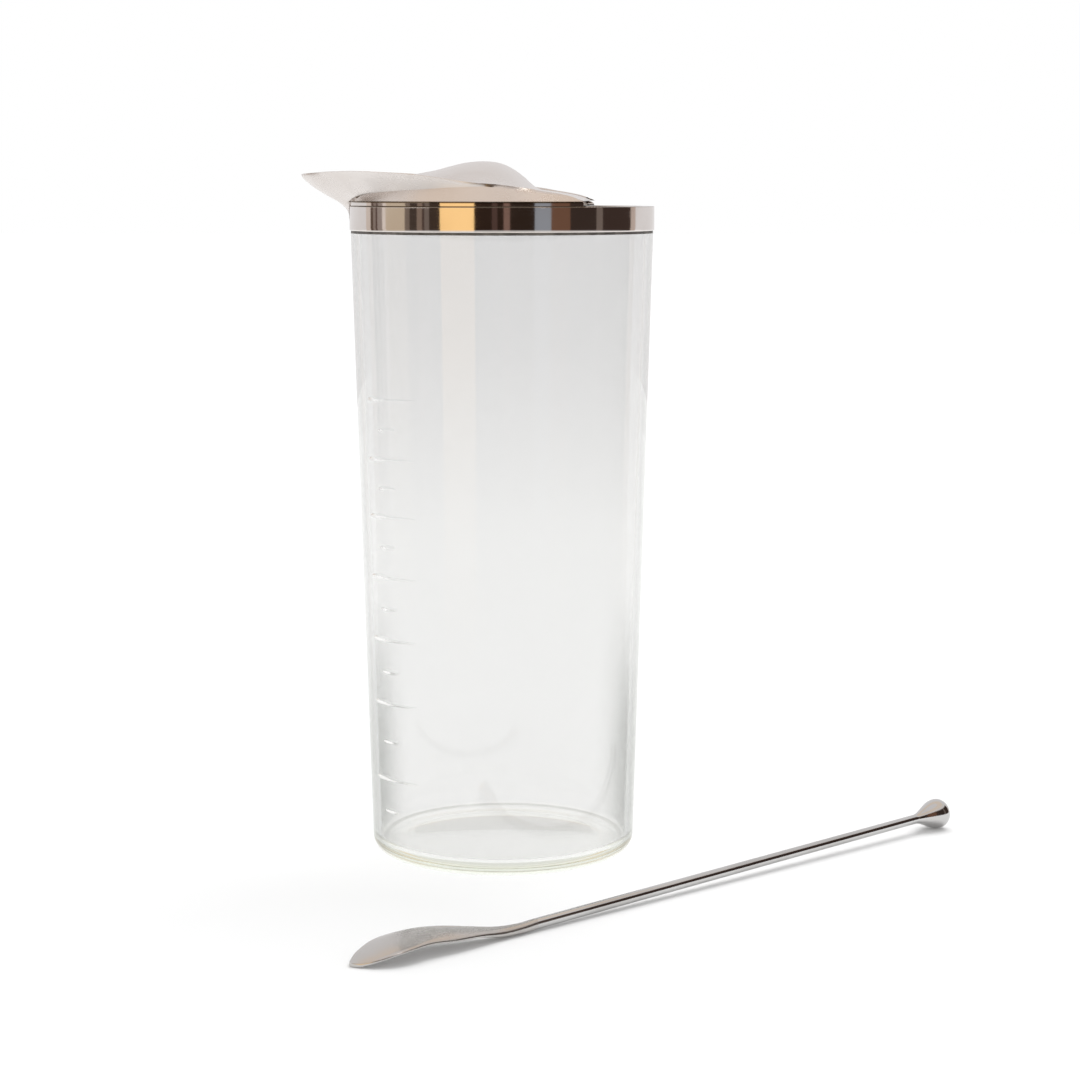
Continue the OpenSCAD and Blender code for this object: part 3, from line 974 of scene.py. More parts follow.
@dataclass
class MeasuringGlass:
    """The tapered glass with its thick bottom and its column of wheel-cut measure marks."""

    base_d: float = 91.2
    mouth_d: float = 104.0
    glass_h: float = 223.2
    wall_t: float = 2.8
    floor_t: float = 5.0
    foot_round: float = 6.0
    heel_round: float = 3.0
    kick_d: float = 68.0
    kick_h: float = 2.0
    mark_direction: float = 50.5
    marks_lean: float = 4.0
    mark_slant: float = 2.0
    mark_depth: float = 0.4
    mark_w: float = 1.7
    short_mark_l: float = 9.4
    long_mark_l: float = 25.5
    long_mark_shift: float = 1.5
    bold_share: float = 1.2
    low_mark_share: float = 0.085
    long_mark_shares: tuple[float, ...] = (0.135, 0.254, 0.353, 0.449, 0.542, 0.629, 0.719)
    neck_r: float = 51.05
    neck_z: float = 215.4
    columns: int = 160
    mark_columns: int = 84
    fan_before: float = 22.0
    fan_after: float = 20.0
    edge_row: float = 0.8
    fine_depth_share: float = 0.8
    fine_width_share: float = 0.7
    kick_rows: int = 12
    foot_steps: int = 14
    heel_steps: int = 18
    floor_shares: tuple[float, ...] = (0.97, 0.6, 0.25)

    def outer_r(self, z: float) -> float:
        """Outside radius at a height."""
        return self.base_d / 2 + (self.mouth_d - self.base_d) / 2 * z / self.glass_h

    def inner_r(self, z: float) -> float:
        """Inside radius at a height."""
        return self.outer_r(z) - self.wall_t

    def mark_turn(self, z: float) -> float:
        """Direction of the marks at a height."""
        top = self.glass_h * self.long_mark_shares[-1]
        return -90 - self.mark_direction - self.marks_lean * (1 - z / top)

    def strokes(self) -> list[WheelCut]:
        """Lists the strokes of all marks.

        Returns:
            The short marks, and the bold end and the fine line of each long mark.
        """
        cuts: list[WheelCut] = []

        def cut(z: float, length: float, depth: float, width: float, shift: float) -> None:
            """Adds one stroke.

            Args:
                z: its height.
                length: its length.
                depth: its depth.
                width: its width.
                shift: how far it is moved along the wall.
            """
            radius = self.outer_r(z)
            turn = self.mark_turn(z) - math.degrees(shift / radius)
            cuts.append(WheelCut(z, turn, length, depth, width, radius, self.mark_slant))

        depth, width = self.mark_depth, self.mark_w
        fine_depth, fine_width = depth * self.fine_depth_share, width * self.fine_width_share
        heights = [self.glass_h * share for share in self.long_mark_shares]
        bold_l = self.short_mark_l * self.bold_share
        bold_shift = (self.long_mark_l - bold_l) / 2 - self.long_mark_shift
        for k, long_z in enumerate(heights):
            below = (heights[k - 1] + long_z) / 2
            short_z = self.glass_h * self.low_mark_share if k == 0 else below
            cut(short_z, self.short_mark_l, depth, width, 0.0)
            cut(long_z, bold_l, depth, width, bold_shift)
            cut(long_z, self.long_mark_l, fine_depth, fine_width, -self.long_mark_shift)
        return cuts

    def build(self) -> bpy.types.Object:
        """Builds the glass as one closed mesh with the marks cut into its wall.

        Returns:
            The glass.
        """
        draft = Draft()
        cuts = self.strokes()
        first = min(c.turn for c in cuts) - self.fan_before
        last = max(c.turn for c in cuts) + self.fan_after
        fan = [first + (last - first) * k / self.mark_columns for k in range(self.mark_columns + 1)]
        rest = 360 - (last - first)
        plain = [last + rest * k / self.columns for k in range(1, self.columns)]
        angles = fan + plain
        sector = len(fan)
        foot_z, top_z = self.foot_round, self.neck_z
        low_z, high_z = foot_z + self.edge_row, top_z - self.edge_row

        def ring(radius: float, z: float) -> list[int]:
            """Adds one ring of points."""
            return draft.row([(radius * cosd(a), radius * sind(a), z) for a in angles])

        pole_low = draft.row([(0.0, 0.0, self.kick_h)]) * len(angles)
        rows = [pole_low]
        kick_r = self.kick_d / 2
        for k in range(1, self.kick_rows + 1):
            u = k / self.kick_rows
            rows.append(ring(kick_r * u, self.kick_h * (1 - u * u)))
        foot_middle = (self.outer_r(foot_z) - self.foot_round, foot_z)
        foot = corner(foot_middle, self.foot_round, -90, 0, self.foot_steps)
        rows += [ring(r, z) for r, z in foot]
        rows.append(ring(self.outer_r(low_z), low_z))
        for below, above in zip(rows, rows[1:]):
            draft.bridge(below, above)
        wall_low, wall_high = rows[-1], ring(self.outer_r(high_z), high_z)
        self._wall(draft, cuts, angles, sector, wall_low, wall_high)
        upper = [wall_high, ring(self.outer_r(top_z), top_z)]
        inner_z = self.floor_t + self.heel_round
        heel_r = self.inner_r(inner_z) - self.heel_round
        upper += [ring(self.neck_r, top_z), ring(self.neck_r, self.glass_h)]
        upper += [ring(self.inner_r(self.glass_h), self.glass_h)]
        upper += [ring(self.inner_r(z), z) for z in (self.glass_h - 1, inner_z + 1)]
        heel = corner((heel_r, inner_z), self.heel_round, 0, -90, self.heel_steps)
        upper += [ring(r, z) for r, z in heel]
        upper += [ring(heel_r * share, self.floor_t) for share in self.floor_shares]
        upper.append(draft.row([(0.0, 0.0, self.floor_t)]) * len(angles))
        for below, above in zip(upper, upper[1:]):
            draft.bridge(below, above)
        return draft.build("measuring_glass")

    def _wall(
        self,
        draft: Draft,
        cuts: list[WheelCut],
        angles: list[float],
        sector: int,
        low: list[int],
        high: list[int],
    ) -> None:
        """Adds the outside of the wall, fine where the marks are.

        Args:
            draft: the glass so far.
            cuts: the strokes.
            angles: directions of the columns, those of the marks first.
            sector: how many columns belong to the marks.
            low: the ring below.
            high: the ring above.
        """
        steps = (-1.5, -1.15, -0.95, -0.85, -0.72, -0.58, -0.43, -0.34, -0.22, -0.1, 0.0)
        offsets = list(steps) + [-s for s in reversed(steps[:-1])]
        marks = sorted({(c.z, c.turn) for c in cuts if c.depth == self.mark_depth})
        rows = [low[:sector]]
        for z, turn in marks:
            for offset in offsets:
                points = []
                for angle in angles[:sector]:
                    along = self.outer_r(z) * sind(angle - turn)
                    height = z + (offset + along * sind(self.mark_slant)) / cosd(self.mark_slant)
                    bite = max(c.bite(angle, height) for c in cuts if abs(c.z - z) < 1e-6)
                    radius = self.outer_r(height) - bite
                    points.append((radius * cosd(angle), radius * sind(angle), height))
                rows.append(draft.row(points))
        rows.append(high[:sector])
        for below, above in zip(rows, rows[1:]):
            draft.bridge(below, above, closed=False)
        for k in range(sector, len(angles) - 1):
            draft.face((low[k], low[k + 1], high[k + 1], high[k]))
        left = [row[-1] for row in rows]
        draft.face([low[sector], high[sector]] + left[::-1])
        right = [row[0] for row in rows]
        draft.face([low[-1]] + right + [high[-1]])

    def dress(self, effects: SharedEffects) -> None:
        """Builds the glass and gives it its finish.

        Args:
            effects: the shared node groups.
        """
        glass = ClearGlass("clear_glass").make(effects)
        piece = settle(self.build(), Body.PITCHER, Slot.GLASS, glass, "glass_body")
        piece.visible_diffuse = False


@dataclass
class CementedCollar:
    """The polished band round the rim and the cement that holds it."""

    collar_or: float = 52.1
    band_h: float = 8.2
    band_t: float = 0.8
    band_bevel: float = 0.35
    band_round: float = 0.16
    cement_t: float = 0.25
    glass_gap: float = 0.17
    collar_top: float = 224.5
    glass_inner_r: float = 49.2
    columns: int = 256

    @property
    def skirt_or(self) -> float:
        """Outside radius of the skirt inside the glass."""
        return self.glass_inner_r - self.glass_gap - self.cement_t

    def band(self) -> bpy.types.Object:
        """Builds the polished band with its rounded top and bevelled lower edge.

        Returns:
            The band.
        """
        outer, top, sheet = self.collar_or, self.collar_top, self.band_t
        low = top - self.band_h
        round_r = self.band_round
        inner_round = sheet / 2
        skirt_ir = self.skirt_or - sheet
        bevel = self.band_bevel
        section: Section = [(outer - sheet, top - sheet), (outer - sheet, low)]
        section += [(outer - bevel, low), (outer - bevel * 0.08, low + bevel * 0.86)]
        section += [(outer, low + bevel * 1.12), (outer, low + bevel + 1)]
        section += [(outer, top - round_r - 1)]
        section += corner((outer - round_r, top - round_r), round_r, 0, 90)
        section += corner((skirt_ir + inner_round, top - inner_round), inner_round, 90, 180)
        skirt_low = low + sheet
        section += [(skirt_ir, skirt_low), (self.skirt_or, skirt_low), (self.skirt_or, top - sheet)]
        draft = Draft()
        draft.turn(section, [360 * k / self.columns for k in range(self.columns)])
        return draft.build("polished_band")

    def dress(self, frame: dict, effects: SharedEffects, silver: bpy.types.Material) -> None:
        """Builds the band and gives it and the cement their finishes.

        Args:
            frame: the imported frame.
            effects: the shared node groups.
            silver: the finish of the band.
        """
        settle(self.band(), Body.PITCHER, Slot.SILVER, silver, "collar")
        redress(frame, "rim_seal", RimCement("rim_cement").make(effects))


@dataclass
class SpoutedCover:
    """The loose cover: ring segment, sleeve, raised shell with its beak, and domed ice guard."""

    turn: float = 3.5
    cover_a: float = 125.5
    rim_z: float = 224.6
    rim_t: float = 1.6
    rim_or: float = 51.9
    rim_ir: float = 47.1
    shell_t: float = 1.1
    shoulder_h: float = 5.0
    lip_h: float = 9.8
    root_reach: float = 5.4
    lip_flare: float = 12.4
    tongue_drop: float = 5.4
    tongue_a: float = 10.4
    tongue_gap: float = 0.05
    feather_t: float = 0.06
    joint_gap: float = 0.02
    lip_bevel: Section = field(
        default_factory=lambda: [(0.5, 0.75), (0.3, 1.0), (-0.3, 0.95), (-0.62, 0.6)]
    )
    hump_h: float = 13.5
    guard_t: float = 0.9
    guard_a: float = 50.0
    slot_w: float = 6.2
    mouth_r: float = 52.0
    collar_or: float = 52.1
    collar_top: float = 224.5
    foot_share: float = 0.6
    shoulder_share: float = 1.55
    shoulder_lean: float = 0.61
    least_flare: float = 0.2
    root_bend: float = 1.6
    side_curl: float = 0.65
    beak_curl: float = 0.75
    curl_span: Span = (0.8, 2.4)
    thin_share: float = 0.55
    thin_span: Span = (60, 105)
    probe: float = 0.12
    cap_share: float = 0.55
    most_cap_share: float = 0.35
    path_steps: int = 200
    wall_fit: float = 1.06
    foot_rows: int = 10
    flare_rows: int = 14
    side_columns: int = 84
    root_columns: int = 20
    guard_rows: int = 48
    guard_columns: int = 56
    ring_columns: int = 150
    near_end: float = 0.5
    far_end: float = 2.6
    end_squeeze: float = 0.3
    tip_share: float = 0.12
    wave: Table = field(
        default_factory=lambda: [
            (0, 0.91, 1, 0),
            (8, 0.95, 1, 0),
            (16, 0.98, 0.9, 0.1),
            (23, 0.99, 0.7, 0.35),
            (31, 1, 0.52, 0.51),
            (45, 0.96, 0.3, 0.68),
            (60, 0.87, 0.175, 0.8),
            (70, 0.755, 0.105, 0.9),
            (80, 0.63, 0.045, 0.96),
            (90, 0.52, 0.012, 1),
            (98, 0.42, 0.01, 0.83),
            (108, 0.32, 0, 0.64),
            (118, 0.18, 0, 0.34),
            (123.5, 0.03, 0, 0.03),
        ]
    )
    crest: Table = field(
        default_factory=lambda: [
            (-0.82, 0.44),
            (-0.65, 0.615),
            (-0.54, 0.7),
            (-0.435, 0.775),
            (-0.327, 0.885),
            (-0.231, 0.968),
            (-0.11, 1),
            (-0.013, 0.955),
            (0.065, 0.825),
            (0.142, 0.61),
            (0.198, 0.39),
            (0.252, 0.28),
            (0.346, 0.2),
            (0.48, 0.1),
            (0.6, 0.05),
        ]
    )

    @property
    def rim_top(self) -> float:
        """Height of the top of the ring."""
        return self.rim_z + self.rim_t

    @property
    def foot_r(self) -> float:
        """Radius of the shell's foot on the ring."""
        return self.rim_or - self.shell_t * self.foot_share

    @property
    def foot_z(self) -> float:
        """Height of the shell's foot on the ring."""
        return self.rim_top + self.joint_gap

    @property
    def shoulder_a(self) -> float:
        """Angle over which the beak's root fades into the shoulder."""
        return self.tongue_a * self.shoulder_share

    def _wave(self, column: int, angle: float) -> float:
        """Value of the cover's table of waves at an angle from the spout."""
        return curve(self.wave, column, angle * self.wave[-1][0] / self.cover_a)

    def crease(self, angle: float) -> tuple[float, float]:
        """Finds the crease between shoulder and flare.

        Args:
            angle: angle from the spout.

        Returns:
            Radius and height there.
        """
        top = self.shoulder_h * max(0.0, self._wave(3, angle))
        radius = self.foot_r + self.root_reach * fade(angle, 0, self.shoulder_a)
        return radius - self.shoulder_lean * top, self.rim_top + top

    def lip(self, angle: float) -> tuple[float, float]:
        """Finds the lip.

        Args:
            angle: angle from the spout.

        Returns:
            Radius and height there.
        """
        radius, height = self.crease(angle)
        least = height + self.shell_t * self.least_flare
        top = max(self.rim_top + self.lip_h * self._wave(1, angle), least)
        return radius + self.lip_flare * max(0.0, self._wave(2, angle)), top

    def foot(self, angle: float) -> tuple[float, float]:
        """Finds the shell's lower edge, with the bib round the front.

        Args:
            angle: angle from the spout.

        Returns:
            Radius and height there.
        """
        root_r = self.collar_or + self.tongue_gap + self.feather_t
        root_z = self.collar_top - self.tongue_drop
        radius = self.foot_r + (root_r - self.foot_r) * fade(angle, self.tongue_a, self.shoulder_a)
        drop = math.sqrt(1 - min(1.0, angle / self.tongue_a) ** 2)
        return radius, self.foot_z - (self.foot_z - root_z) * drop

    def shell_outside(self, angle: float, place: float) -> tuple[float, float]:
        """Outside of the shell.

        Args:
            angle: angle from the spout.
            place: 0 at the foot, 1 at the crease and 2 at the lip.

        Returns:
            Radius and height there.
        """
        crease_r, crease_z = self.crease(angle)
        if place <= 1:
            low_r, low_z = self.foot(angle)
            bend = 1 + self.root_bend * fade(angle, self.tongue_a, self.shoulder_a)
            return low_r + (crease_r - low_r) * place**bend, low_z + (crease_z - low_z) * place
        lip_r, lip_z = self.lip(angle)
        v = place - 1
        start, end = (share * self.tongue_a for share in self.curl_span)
        curl = self.side_curl + self.beak_curl * fade(angle, start, end)
        out = 1 - (1 - v) ** curl
        return crease_r + (lip_r - crease_r) * out, crease_z + (lip_z - crease_z) * v

    def shell_inside(self, angle: float, place: float) -> tuple[float, float]:
        """Inside of the shell, one sheet's thickness from the outside.

        Args:
            angle: angle from the spout.
            place: 0 at the foot, 1 at the crease and 2 at the lip.

        Returns:
            Radius and height there.
        """
        radius, height = self.shell_outside(angle, place)
        before = self.shell_outside(angle, max(0.0, place - self.probe))
        after = self.shell_outside(angle, min(2.0, place + self.probe))
        run, rise = after[0] - before[0], after[1] - before[1]
        length = max(math.hypot(run, rise), self.joint_gap)
        thinner = self.thin_share * fade(angle, *self.thin_span) * max(0.0, place - 1)
        sheet = self.shell_t * (1 - thinner)
        radius -= sheet * rise / length
        height += sheet * run / length
        if height < self.foot_z:
            radius = max(radius, self.collar_or + self.tongue_gap)
        return radius, max(height, self.foot(angle)[1])

    def _column(self, angle: float) -> Section:
        """Closed section of the shell at an angle from the spout.

        Args:
            angle: angle from the spout, 0 or more.

        Returns:
            Its points: up the outside, round the lip and down the inside.
        """
        top = self._edge_place(angle)
        turn = min(1.0, top - self.probe / 2)
        places = [turn * k / self.foot_rows for k in range(self.foot_rows)]
        places += [turn + (top - turn) * k / self.flare_rows for k in range(self.flare_rows + 1)]
        outside = [self.shell_outside(angle, p) for p in places]
        inside = [self.shell_inside(angle, p) for p in places]
        (ar, az), (br, bz) = outside[-1], inside[-1]
        (pr, pz), (qr, qz) = self.shell_outside(angle, 2.0), self.shell_inside(angle, 2.0)
        middle = ((ar + br) / 2, (az + bz) / 2)
        reach = ((pr + qr) / 2 - middle[0], (pz + qz) / 2 - middle[1])
        half = ((ar - br) / 2, (az - bz) / 2)
        cap = [
            tuple(m + h * side + r * out for m, h, r in zip(middle, half, reach))
            for side, out in self.lip_bevel
        ]
        return outside + cap + inside[::-1]

    def _edge_place(self, angle: float) -> float:
        """Place on the shell where the rounding of its lip starts.

        Args:
            angle: angle from the spout, 0 or more.

        Returns:
            The place, as shell_outside counts it.
        """
        steps = self.path_steps
        path = [self.shell_outside(angle, 2 * k / steps) for k in range(steps + 1)]
        runs = [math.dist(p, q) for p, q in zip(path, path[1:])]
        wanted = min(self.shell_t * self.cap_share, self.most_cap_share * sum(runs))
        walked, k = 0.0, steps
        while walked < wanted and k > 1:
            k -= 1
            walked += runs[k]
        return 2 * k / steps

    def _stand(self, radius: float, angle: float, height: float) -> Point:
        """Point of the cover, turned as the cover lies on the collar."""
        direction = 180 + angle - self.turn
        return radius * cosd(direction), radius * sind(direction), height

    def shell(self) -> bpy.types.Object:
        """Builds the raised shell with its beak.

        Returns:
            The shell.
        """
        root, side = self.root_columns, self.side_columns
        half = [self.tongue_a * sind(90 * k / root) for k in range(root + 1)]
        run = self.cover_a - self.tongue_a
        half += [self.tongue_a + run * k / side for k in range(1, side + 1)]
        angles = [-a for a in reversed(half[1:])] + half
        draft = Draft()
        columns = [[self._stand(r, a, z) for r, z in self._column(abs(a))] for a in angles]
        draft.loft(columns)
        size = len(columns[0])
        for k, (a, after) in enumerate(zip(angles, angles[1:])):
            point = k * size + self.foot_rows
            if min(abs(a), abs(after)) > self.shoulder_a:
                draft.creases.add(frozenset((point, point + size)))
        return draft.build("cover_shell_sheet", sharp=24)

    def _guard_point(self, u: float, v: float) -> Point:
        """Point of the ice guard's top.

        Args:
            u: 0 at the pouring slot and 1 at the filling gap.
            v: -1 and 1 at the two ends of a row.

        Returns:
            The point before the cover is turned.
        """
        angle = self.guard_a + (self.cover_a - self.guard_a) * u
        wall = self.crease(angle)[0] - self.shell_t * self.wall_fit
        first_wall = self.crease(self.guard_a)[0] - self.shell_t * self.wall_fit
        bulge = (self.rim_ir - self.slot_w) - first_wall * cosd(self.guard_a)
        x = -wall * cosd(angle) - bulge * (1 - v * v) * (1 - u) ** 2
        wall_z = self.crease(angle)[1]
        crest_z = self.rim_top + self.hump_h * curve(self.crest, 1, x / self.mouth_r)
        return x, v * wall * sind(angle), wall_z + (crest_z - wall_z) * (1 - v * v) ** 2

    def guard(self) -> bpy.types.Object:
        """Builds the domed ice guard.

        Returns:
            The guard.
        """
        loops = []
        for m in range(self.guard_columns + 1):
            v = 2 * m / self.guard_columns - 1
            top = [self._guard_point(k / self.guard_rows, v) for k in range(self.guard_rows + 1)]
            bottom = [(x, y, max(z - self.guard_t, self.foot_z)) for x, y, z in top]
            loops.append([self._turned(p) for p in top + bottom[::-1]])
        draft = Draft()
        draft.loft(loops)
        return draft.build("ice_guard_plate", sharp=60)

    def _turned(self, point: Point) -> Point:
        """Turns a point of the cover as the cover lies on the collar.

        Args:
            point: the point before the turn.

        Returns:
            The point after it.
        """
        x, y, z = point
        c, s = cosd(-self.turn), sind(-self.turn)
        return c * x - s * y, s * x + c * y, z

    def ring(self) -> bpy.types.Object:
        """Builds the ring segment with softened edges and ends.

        Returns:
            The ring.
        """
        edge, crown = self.rim_t / 12, self.rim_t / 7
        low, top = self.rim_z, self.rim_top
        section: Section = corner((self.rim_ir + edge, low + edge), edge, 180, 270, 5)
        section += corner((self.rim_or - edge, low + edge), edge, -90, 0, 5)
        section += corner((self.rim_or - crown, top - crown), crown, 0, 90, 8)
        section += corner((self.rim_ir + edge, top - edge), edge, 90, 180, 5)
        middle_r = (self.rim_ir + self.rim_or) / 2
        near = self._end_stops(self.rim_t * self.near_end)
        far = self._end_stops(self.rim_t * self.far_end)
        low_a, run, count = -far[-1][0], near[-1][0] + far[-1][0], self.ring_columns
        stations = [(-a, share) for a, share in far]
        stations += [(low_a + run * k / count, 1.0) for k in range(1, count)]
        stations += near[::-1]
        loops = []
        for angle, share in stations:
            squeeze = 1 - self.end_squeeze * (1 - share) ** 2
            squeezed = [(middle_r + (r - middle_r) * squeeze, z) for r, z in section]
            loops.append([self._stand(r, angle, low + (z - low) * share) for r, z in squeezed])
        draft = Draft()
        draft.loft(loops)
        return draft.build("cover_ring_segment")

    def _end_stops(self, length: float) -> list[tuple[float, float]]:
        """Stations of a rounded end of the ring, whose top runs down to its tip.

        Args:
            length: how far the rounding reaches along the ring.

        Returns:
            Angle from the spout and share of the full height at each, from the tip inwards.
        """
        nose = math.degrees(length / self.rim_or)
        rise = 1 - self.tip_share
        turns = range(0, 91, 10)
        return [
            (self.cover_a - nose * (1 - cosd(t)), self.tip_share + rise * sind(t)) for t in turns
        ]

    def dress(self, frame: dict, silver: bpy.types.Material, sheet: bpy.types.Material) -> None:
        """Builds the cover's pieces and gives them their finishes.

        Args:
            frame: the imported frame.
            silver: the finish of the ring and the sleeve.
            sheet: the softer finish of the raised sheet and the dome.
        """
        settle(self.ring(), Body.COVER, Slot.SILVER, silver, "cover_rim")
        settle(self.shell(), Body.COVER, Slot.SILVER, sheet, "cover_shell")
        settle(self.guard(), Body.COVER, Slot.SILVER, sheet, "ice_guard")
        redress(frame, "cover_sleeve", silver)


@dataclass
class StirringSpoon:
    """The long spoon: leaf-shaped bowl, thin round stem and flared knob."""

    spoon_l: float = 267.5
    stem_d: float = 3.6
    stem_end_d: float = 3.4
    knob_d: float = 10.6
    knob_l: float = 17.0
    bowl_l: float = 66.5
    bowl_w: float = 16.4
    bowl_arch: float = 6.0
    bowl_t: float = 1.2
    direction: float = 42.2
    knob_x: float = 157.2
    knob_y: float = 26.5
    cap_share: float = 0.8
    columns: int = 64
    bowl_rows: int = 72
    bowl_row_power: float = 1.35
    edge_fullness: float = 2.2
    edge_power: float = 0.6
    stem_rows: int = 12
    knob_rows: int = 24
    cap_rows: int = 20
    leaf: Table = field(
        default_factory=lambda: [
            (0, 0.53, 0.03, 0.1, 0.1, 0),
            (0.02, 0.498, 0.16, 0.15, 0.12, 0),
            (0.08, 0.434, 0.352, 0.46, 0.38, 0),
            (0.2, 0.39, 0.5, 0.88, 0.7, 0),
            (0.36, 0.398, 0.48, 1.1, 0.74, 0),
            (0.5, 0.297, 0.425, 1.03, 0.62, 0.05),
            (0.64, 0.183, 0.302, 0.7, 0.52, 0.4),
            (0.78, 0.073, 0.183, 0.36, 0.32, 0.9),
            (0.9, 0.009, 0.128, 0.31, 0.31, 0.95),
            (1, 0, 0.11, 0.35, 0.35, 1),
        ]
    )

    @property
    def cap_l(self) -> float:
        """Length of the knob's rounded end."""
        return self.knob_d / 2 * self.cap_share

    @property
    def stem_lift(self) -> float:
        """Height of the stem's middle beside the bowl."""
        return self.stem_d / 2 + self.bowl_t / 4

    @property
    def tilt(self) -> float:
        """Rise of the stem towards the knob, in degrees."""
        run = self.spoon_l - self.cap_l - self.bowl_l
        return math.degrees(math.atan((self.knob_d / 2 - self.stem_lift) / run))

    def _lay(self, point: Point) -> Point:
        """Lays a point of the spoon's own axes on the table.

        Args:
            point: distance from the bowl's tip, distance to the side, and height.

        Returns:
            The point in the shared frame.
        """
        x, y, z = point
        x -= self.spoon_l - self.cap_l
        c, s = cosd(self.direction), sind(self.direction)
        return self.knob_x + c * x - s * y, self.knob_y + s * x + c * y, z

    def _round(self, x: float, radius: float) -> list[Point]:
        """Makes a circle round the tilted stem.

        Args:
            x: distance from the bowl's tip.
            radius: radius of the circle.

        Returns:
            The circle's points in the shared frame.
        """
        c, s = cosd(self.tilt), sind(self.tilt)
        along = x - self.bowl_l
        loop = []
        for k in range(self.columns):
            angle = 360 * k / self.columns
            up, side = radius * sind(angle), radius * cosd(angle)
            place, height = self.bowl_l + along * c - up * s, self.stem_lift + along * s + up * c
            loop.append(self._lay((place, -side, height)))
        return loop

    def bowl(self) -> bpy.types.Object:
        """Builds the leaf-shaped bowl with its neck.

        Returns:
            The bowl.
        """
        half = self.columns // 2
        loops = []
        for k in range(self.bowl_rows + 1):
            u = (k / self.bowl_rows) ** self.bowl_row_power
            drift, width, middle, edge, roundness = (curve(self.leaf, c, u) for c in range(1, 6))
            roundness = min(1.0, max(0.0, roundness))
            edge_z = self.bowl_arch * edge
            rise = self.bowl_arch * middle - edge_z
            sheet_half = self.bowl_t / 2 * (1 - roundness)
            loop = []
            for m in range(self.columns):
                angle = 360 * m / self.columns
                across = min(1.0, max(-1.0, cosd(angle)))
                dome = rise * (1 - across * across)
                side = 1 if m <= half else -1
                body = self.stem_d / 2 * roundness * abs(sind(angle))
                fullness = min(1.0, self.edge_fullness * abs(sind(angle)))
                sheet = sheet_half * fullness**self.edge_power
                y = self.bowl_w * (drift - across * width)
                loop.append(self._lay((self.bowl_l * u, y, edge_z + dome + side * (body + sheet))))
            loops.append(loop)
        draft = Draft()
        draft.loft(loops)
        return draft.build("spoon_leaf_bowl", sharp=70)

    def stem(self) -> bpy.types.Object:
        """Builds the thin tapering stem.

        Returns:
            The stem.
        """
        run = self.spoon_l - self.knob_l - self.bowl_l
        taper = self.stem_end_d - self.stem_d
        stations = [0, 0.01] + [k / self.stem_rows for k in range(1, self.stem_rows)] + [0.99, 1]
        draft = Draft()
        draft.loft(
            [self._round(self.bowl_l + run * s, (self.stem_d + taper * s) / 2) for s in stations]
        )
        return draft.build("spoon_round_stem")

    def knob(self) -> bpy.types.Object:
        """Builds the flared knob with its rounded end.

        Returns:
            The knob.
        """
        start = self.spoon_l - self.knob_l
        flare_l = self.knob_l - self.cap_l
        stem_r, knob_r = self.stem_end_d / 2, self.knob_d / 2
        loops = []
        for k in range(self.knob_rows + 1):
            u = k / self.knob_rows
            radius = stem_r + (knob_r - stem_r) * (3 - 2 * u) * u * u
            loops.append(self._round(start + flare_l * u, radius))
        for k in range(1, self.cap_rows + 1):
            a = 89.9 * k / self.cap_rows
            loops.append(self._round(start + flare_l + self.cap_l * sind(a), knob_r * cosd(a)))
        draft = Draft()
        draft.loft(loops)
        return draft.build("spoon_flared_knob")

    def dress(self, effects: SharedEffects) -> None:
        """Builds the spoon's pieces and gives them their finishes.

        Args:
            effects: the shared node groups.
        """
        lines = {"flow": Flow.ALONG, "along": self.direction, "line_scale": 3.0}
        steel = PolishedMetal(
            "polished_steel",
            tone=(0.6, 0.595, 0.59),
            aged_tone=(0.52, 0.51, 0.5),
            clean=0.09,
            smeared=0.18,
            **lines,
        ).make(effects)
        satin = PolishedMetal(
            "satin_steel",
            tone=(0.565, 0.55, 0.535),
            aged_tone=(0.505, 0.485, 0.465),
            clean=0.24,
            smeared=0.36,
            **lines,
        ).make(effects)
        settle(self.bowl(), Body.SPOON, Slot.STEEL, satin, "spoon_bowl")
        settle(self.stem(), Body.SPOON, Slot.STEEL, steel, "spoon_stem")
        settle(self.knob(), Body.SPOON, Slot.STEEL, steel, "spoon_knob")


@dataclass(frozen=True)
class RoomCard:
    """A strip of the room round the table, seen only in the polished metal and the glass.

    Angles run from the camera's side, 0, to the right, and top is the strip's height in mm.
    """

    name: str
    start: float
    end: float
    colour: Colour
    top: float


